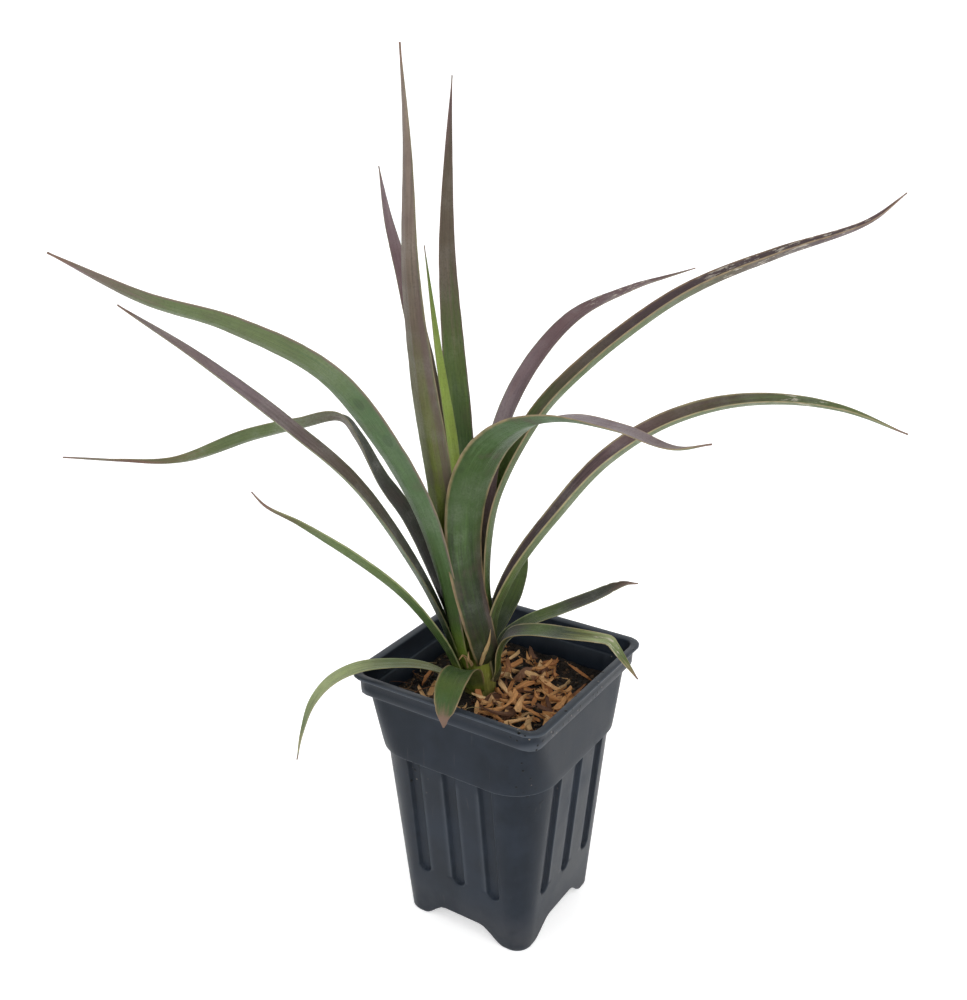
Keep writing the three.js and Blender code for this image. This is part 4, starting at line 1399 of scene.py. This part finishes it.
def leaf_material(leaf, settings):
    """Waxy leaf skin: colours along each face, fine veins, streaks, a horny margin and a dry tip."""
    material, tree, shader = new_material("skin of " + leaf["name"].replace("_", " "), Specular_IOR_Level=0.3)
    along = stored_value(tree, "along")
    across = stored_value(tree, "across")
    over = stored_value(tree, "over")
    chart = add_node(tree, "ShaderNodeUVMap", uv_map="blade").outputs["UV"]
    place = object_place(tree)
    margin = calculate(tree, "ABSOLUTE", across)

    veins = noise_of(tree, stretched(tree, chart, (90.0, 2600.0, 1.0)), 1.0, 3.0, 0.6)
    streaks = noise_of(tree, stretched(tree, chart, (22.0, 620.0, 1.0)), 1.0, 3.0, 0.55)
    clouds = noise_of(tree, place, 60.0, 4.0, 0.6)
    fine = noise_of(tree, place, 1100.0, 3.0, 0.6)

    shifted = calculate(tree, "ADD", along, calculate(tree, "MULTIPLY_ADD", streaks, 0.3, -0.15))
    under = ramp(tree, shifted, colour_stops(leaf["under"]))
    upper = ramp(tree, shifted, colour_stops(leaf["over"]))
    colour = blend(tree, spread(tree, over, 0.3, 0.7), under, upper)

    # Lengthways streaks, lighter and darker, and soft clouds of the plant's purple flush.
    strength = leaf.get("streaks", 0.5)
    bright = blend(tree, 1.0, colour, (1.5, 1.55, 1.35, 1.0), "MULTIPLY")
    dim = blend(tree, 1.0, colour, (0.52, 0.53, 0.56, 1.0), "MULTIPLY")
    colour = blend(tree, spread(tree, streaks, 0.52, 0.72, 0.0, 0.75 * strength), colour, bright)
    colour = blend(tree, spread(tree, streaks, 0.48, 0.3, 0.0, 0.8 * strength), colour, dim)
    colour = blend(tree, spread(tree, veins, 0.45, 0.25, 0.0, 0.4), colour, dim)
    colour = blend(tree, spread(tree, veins, 0.55, 0.75, 0.0, 0.35), colour, bright)
    colour = blend(tree, spread(tree, fine, 0.5, 0.25, 0.0, 0.45), colour, dim)
    if "flank" in leaf:
        rise = calculate(tree, "MULTIPLY_ADD", streaks, 0.8, -0.4)
        purple, end = leaf["flank"]
        side = spread(tree, calculate(tree, "ADD", across, rise), 0.3, 0.7, 0.0, purple)
        side = calculate(tree, "MULTIPLY", side, spread(tree, along, end + 0.15, end - 0.1))
        colour = blend(tree, side, colour, settings.flush)
    flush = spread(tree, clouds, 0.5, 0.72, 0.0, 0.25 + 0.4 * leaf.get("blush", 0.0))
    colour = blend(tree, flush, colour, settings.flush)
    bloom = calculate(tree, "MULTIPLY", spread(tree, clouds, 0.55, 0.3), 0.35 * leaf.get("bloom", 0.25))
    bloom = calculate(tree, "MULTIPLY", bloom, spread(tree, fine, 0.3, 0.7, 0.4, 1.0))
    colour = blend(tree, bloom, colour, settings.bloom)

    # Dark oval spots and pale scars, where this leaf has them.
    if "spots" in leaf:
        start, end = leaf["spots"]
        window = calculate(
            tree, "MULTIPLY", spread(tree, along, start - 0.03, start), spread(tree, along, end + 0.03, end)
        )
        ovals = stretched(tree, chart, (95.0, 190.0, 1.0))
        cells = add_node(tree, "ShaderNodeTexVoronoi", {"Vector": ovals, "Scale": 1.0, "Randomness": 0.8})
        chance = add_node(tree, "ShaderNodeSeparateColor", {"Color": cells.outputs["Color"]}).outputs["Green"]
        ring = spread(tree, cells.outputs["Distance"], 0.36, 0.28)
        ring = calculate(tree, "MULTIPLY", ring, spread(tree, chance, 0.62, 0.66))
        spot = calculate(tree, "MULTIPLY", calculate(tree, "MULTIPLY", ring, window), 0.5)
        colour = blend(tree, spot, colour, dim)
    if "scars" in leaf:
        start, end = leaf["scars"]
        begun = spread(tree, along, start - 0.04, start + 0.02)
        window = calculate(tree, "MULTIPLY", begun, spread(tree, along, end + 0.02, end))
        scratches = noise_of(tree, stretched(tree, chart, (150.0, 900.0, 1.0)), 1.0, 4.0, 0.7)
        scar = calculate(tree, "MULTIPLY", spread(tree, scratches, 0.54, 0.62), window)
        colour = blend(tree, calculate(tree, "MULTIPLY", scar, 0.8), colour, linear((196, 188, 172)))

    # A paler line beside the margin, the thin horny margin itself, and the dried tip.
    breaks = noise_of(tree, stretched(tree, chart, (140.0, 10.0, 1.0)), 1.0, 2.0)
    broken = spread(tree, breaks, 0.3, 0.6, 0.35, 1.0)
    paleness = 0.7 if "rim" in leaf else 0.4
    pale = calculate(tree, "MULTIPLY", spread(tree, margin, 0.84, 0.95, 0.0, paleness), broken)
    colour = blend(tree, pale, colour, linear(leaf.get("rim", "grey green")))
    horny = calculate(tree, "MULTIPLY", spread(tree, margin, 0.955, 0.985), broken)
    colour = blend(tree, calculate(tree, "MULTIPLY", horny, 0.6), colour, settings.margin_colour)
    dried_from = leaf.get("dry", 0.985)
    reached = calculate(tree, "ADD", along, calculate(tree, "MULTIPLY", clouds, 0.06))
    dry = spread(tree, reached, dried_from, dried_from + 0.035)
    colour = blend(tree, dry, colour, settings.tip_colour)
    foot = spread(tree, along, 0.1, 0.0, 0.0, leaf.get("foot", 0.8))
    colour = blend(tree, foot, colour, linear("fresh"))

    roughness = spread(tree, clouds, 0.3, 0.75, settings.roughness - 0.07, settings.roughness + 0.1)
    roughness = calculate(tree, "ADD", roughness, calculate(tree, "MULTIPLY", horny, 0.15), clamp=True)
    relief = calculate(tree, "ADD", veins, calculate(tree, "MULTIPLY", streaks, 0.8))
    relief = calculate(tree, "ADD", relief, calculate(tree, "MULTIPLY", fine, 0.35))
    finish_material(tree, shader, colour, roughness, relief, 0.0003)
    return material


def sheath_material():
    """Papery dry sheath, tan with brown lengthways fibres."""
    material, tree, shader = new_material("dry sheath", Specular_IOR_Level=0.25)
    chart = add_node(tree, "ShaderNodeUVMap", uv_map="blade").outputs["UV"]
    place = object_place(tree)
    fibres = noise_of(tree, stretched(tree, chart, (160.0, 3200.0, 1.0)), 1.0, 3.0, 0.6)
    stain = noise_of(tree, place, 220.0, 3.0)
    colour = ramp(tree, fibres, [(0.25, "bark brown"), (0.5, (170, 142, 100)), (0.8, "straw")])
    colour = blend(tree, spread(tree, stain, 0.5, 0.75, 0.0, 0.6), colour, linear("olive"))
    finish_material(tree, shader, colour, spread(tree, stain, 0.3, 0.7, 0.65, 0.85), fibres, 0.0003)
    return material


class YuccaLeafSettings(bpy.types.PropertyGroup):
    """Sizes and colours that all the leaves share."""

    station_spacing: bpy.props.FloatProperty(
        name="Station spacing", description="Distance between sections along a leaf", default=0.0016,
        unit="LENGTH",
    )
    midrib: bpy.props.FloatProperty(
        name="Midrib", description="Thickness of a leaf at its midrib", default=0.0015, unit="LENGTH"
    )
    margin: bpy.props.FloatProperty(
        name="Margin", description="Thickness of a leaf at its margin", default=0.00045, unit="LENGTH"
    )
    roughness: bpy.props.FloatProperty(
        name="Roughness", description="Roughness of the waxy skin", default=0.47, subtype="FACTOR"
    )
    flush: bpy.props.FloatVectorProperty(
        name="Flush", description="Colour of the purple flush", subtype="COLOR", size=4,
        default=linear((86, 68, 68)),
    )
    bloom: bpy.props.FloatVectorProperty(
        name="Bloom", description="Colour of the waxy bloom", subtype="COLOR", size=4,
        default=linear((172, 172, 168)),
    )
    margin_colour: bpy.props.FloatVectorProperty(
        name="Margin colour", description="Colour of the horny margin", subtype="COLOR", size=4,
        default=linear((142, 126, 98)),
    )
    tip_colour: bpy.props.FloatVectorProperty(
        name="Tip colour", description="Colour of the dried tips", subtype="COLOR", size=4,
        default=linear((112, 88, 74)),
    )


class YUCCA_OT_leaves(bpy.types.Operator):
    """Build every leaf and the torn dry sheaths round the crown"""

    bl_idname = "yucca.leaves"
    bl_label = "Leaves"

    def execute(self, context):
        settings = context.scene.yucca_leaf
        for leaf in LEAVES:
            built = blade(leaf["name"] + "_blade", leaf, settings)
            built.data.materials.append(leaf_material(leaf, settings))
            keep(built, "leaf", leaf["name"])
        papery = sheath_material()
        for index, sheath in enumerate(SHEATHS, start=1):
            sheath = {"cup": 0.3, "taper": 1.2, "ragged": (0.2, 1.0, 0.5), **sheath}
            built = blade(f"dry_sheath_{index}", sheath, settings, rooted=False)
            built.data.materials.append(papery)
            keep(built, "bark")
        return {"FINISHED"}


# ------------------------------------------------------------------ stage


class YuccaStageSettings(bpy.types.PropertyGroup):
    """Camera, lights and floor."""

    azimuth: bpy.props.FloatProperty(
        name="Azimuth", description="Direction that the camera looks in, from +Y towards -X",
        default=math.radians(33.34), subtype="ANGLE",
    )
    elevation: bpy.props.FloatProperty(
        name="Elevation", description="Height of the camera as an angle", default=math.radians(21.68),
        subtype="ANGLE",
    )
    roll: bpy.props.FloatProperty(
        name="Roll", description="Turn of the camera about its view", default=math.radians(-0.56),
        subtype="ANGLE",
    )
    distance: bpy.props.FloatProperty(
        name="Distance", description="From the camera to what it is aimed at", default=0.5474, unit="LENGTH"
    )
    lens: bpy.props.FloatProperty(
        name="Lens", description="Focal length in millimetres on a 36 mm frame", default=42.37
    )
    floor_colour: bpy.props.FloatVectorProperty(
        name="Floor", description="Colour of the floor", subtype="COLOR", size=4,
        default=(0.86, 0.86, 0.86, 1.0),
    )
    floor_glow: bpy.props.FloatProperty(
        name="Floor glow", description="How bright the floor is of itself", default=0.5
    )
    key_power: bpy.props.FloatProperty(
        name="Key light", description="Power of the large light", default=8.5, unit="POWER"
    )
    sky: bpy.props.FloatProperty(
        name="Sky", description="Brightness of the even light from above", default=0.42
    )


AIM = Vector((-0.0055, -0.0036, 0.125))
AIM_RISE = 0.0805  # the camera is aimed this far above AIM, along its own up
FLOOR_DROP = -0.0001  # keeps the floor just under the soles
SWEEP_REACH = 2.2  # the floor is level out to here
SWEEP_RADIUS = 0.9  # radius of the curve that turns it up into a wall
SENSOR_WIDTH = 36.0


def place_camera(settings):
    """The camera, at the object's usual viewing angle."""
    lens = bpy.data.cameras.new("camera")
    lens.lens = settings.lens
    lens.sensor_width = SENSOR_WIDTH
    camera = bpy.data.objects.new("camera", lens)
    bpy.context.scene.collection.objects.link(camera)
    a, e = settings.azimuth, settings.elevation
    forward = Vector((-math.sin(a) * math.cos(e), math.cos(a) * math.cos(e), -math.sin(e)))
    right = Vector((math.cos(a), math.sin(a), 0.0))
    up = right.cross(forward)
    aim = AIM + up * AIM_RISE
    turned_right = right * math.cos(settings.roll) + up * math.sin(settings.roll)
    turned_up = up * math.cos(settings.roll) - right * math.sin(settings.roll)
    turn = Matrix((turned_right, turned_up, -forward)).transposed()
    camera.matrix_world = Matrix.Translation(aim - forward * settings.distance) @ turn.to_4x4()
    bpy.context.scene.camera = camera


def area_light(name, place, size, power, aim=(0.0, 0.0, 0.15)):
    """A soft square light aimed at a point."""
    light = bpy.data.lights.new(name, "AREA")
    light.size = size
    light.energy = power
    lamp = bpy.data.objects.new(name, light)
    bpy.context.scene.collection.objects.link(lamp)
    toward = Vector(aim) - Vector(place)
    lamp.matrix_world = Matrix.Translation(place) @ toward.to_track_quat("-Z", "Y").to_matrix().to_4x4()


def floor_material(settings):
    """Plain pale floor with a very faint grain, a little bright of itself."""
    material, tree, shader = new_material(
        "pale floor", Specular_IOR_Level=0.1, Emission_Color=(1.0, 1.0, 1.0, 1.0),
        Emission_Strength=settings.floor_glow,
    )
    place = object_place(tree)
    grain = noise_of(tree, place, 300.0, 2.0)
    speckle = spread(tree, grain, 0.4, 0.6, 0.0, 0.03)
    colour = blend(tree, speckle, settings.floor_colour, (0.8, 0.8, 0.8, 1.0))
    finish_material(tree, shader, colour, spread(tree, grain, 0.3, 0.7, 0.75, 0.8), grain, 0.00002)
    return material


def floor_sweep():
    """A level floor that curves up into a low round wall, so that no horizon shows."""
    profile = [(0.0, 0.0), (0.6, 0.0), (1.4, 0.0), (SWEEP_REACH, 0.0)]
    for step in range(1, 13):
        turn = math.pi / 2 * step / 12
        out, up = SWEEP_RADIUS * math.sin(turn), SWEEP_RADIUS - SWEEP_RADIUS * math.cos(turn)
        profile.append((SWEEP_REACH + out, up))
    profile.append((SWEEP_REACH + SWEEP_RADIUS, SWEEP_RADIUS + 1.0))
    around = 96
    vertices = [(0.0, 0.0, FLOOR_DROP)]
    for reach, height in profile[1:]:
        for step in range(around):
            angle = 2 * math.pi * step / around
            vertices.append((reach * math.cos(angle), reach * math.sin(angle), height + FLOOR_DROP))
    faces = [(0, 1 + step, 1 + (step + 1) % around) for step in range(around)]
    for face in ring_faces(len(profile) - 1, around):
        faces.append(tuple(vertex + 1 for vertex in face[::-1]))
    return mesh_object("floor", vertices, faces, 180.0)


class YUCCA_OT_stage(bpy.types.Operator):
    """Set up the camera, the floor and the soft lights"""

    bl_idname = "yucca.stage"
    bl_label = "Stage"

    def execute(self, context):
        settings = context.scene.yucca_stage
        place_camera(settings)
        floor = floor_sweep()
        floor.data.materials.append(floor_material(settings))
        power = settings.key_power
        area_light("key", (1.1, -0.5, 1.3), 1.0, power)
        area_light("front", (-0.5, -1.3, 0.9), 1.2, power * 0.45)
        area_light("back", (-0.6, 1.1, 1.3), 1.2, power * 0.5)
        world = bpy.data.worlds.new("even light")
        world.use_nodes = True
        sky = world.node_tree.nodes["Background"]
        sky.inputs["Color"].default_value = (1.0, 1.0, 1.0, 1.0)
        sky.inputs["Strength"].default_value = settings.sky
        context.scene.world = world
        context.scene.view_settings.view_transform = "Standard"
        return {"FINISHED"}


# ------------------------------------------------------------------ panel and main

OPERATORS = (
    YUCCA_OT_nursery_pot, YUCCA_OT_potting_soil, YUCCA_OT_litter, YUCCA_OT_stem, YUCCA_OT_leaves,
    YUCCA_OT_stage,
)
SETTINGS = {
    "yucca_pot": YuccaPotSettings,
    "yucca_soil": YuccaSoilSettings,
    "yucca_stem": YuccaStemSettings,
    "yucca_leaf": YuccaLeafSettings,
    "yucca_stage": YuccaStageSettings,
}


class YUCCA_PT_panel(bpy.types.Panel):
    """Settings and steps of the potted yucca"""

    bl_idname = "YUCCA_PT_panel"
    bl_label = "Potted yucca"
    bl_space_type = "VIEW_3D"
    bl_region_type = "UI"
    bl_category = "Yucca"

    def draw(self, context):
        for operator in OPERATORS:
            self.layout.operator(operator.bl_idname)
        for name, group in SETTINGS.items():
            box = self.layout.box()
            for setting in group.__annotations__:
                box.prop(getattr(context.scene, name), setting)


def register():
    """Registers the settings, the operators and the panel."""
    for name, group in SETTINGS.items():
        bpy.utils.register_class(group)
        setattr(bpy.types.Scene, name, bpy.props.PointerProperty(type=group))
    for kind in (*OPERATORS, YUCCA_PT_panel):
        bpy.utils.register_class(kind)


def unregister():
    """Removes what register added."""
    for kind in (YUCCA_PT_panel, *reversed(OPERATORS)):
        bpy.utils.unregister_class(kind)
    for name, group in SETTINGS.items():
        delattr(bpy.types.Scene, name)
        bpy.utils.unregister_class(group)


def main():
    """Builds the object piece by piece."""
    register()
    bpy.ops.yucca.nursery_pot()
    bpy.ops.yucca.potting_soil()
    bpy.ops.yucca.litter()
    bpy.ops.yucca.stem()
    bpy.ops.yucca.leaves()
    bpy.ops.yucca.stage()
    bpy.context.view_layer.update()


if __name__ == "__main__":
    main()
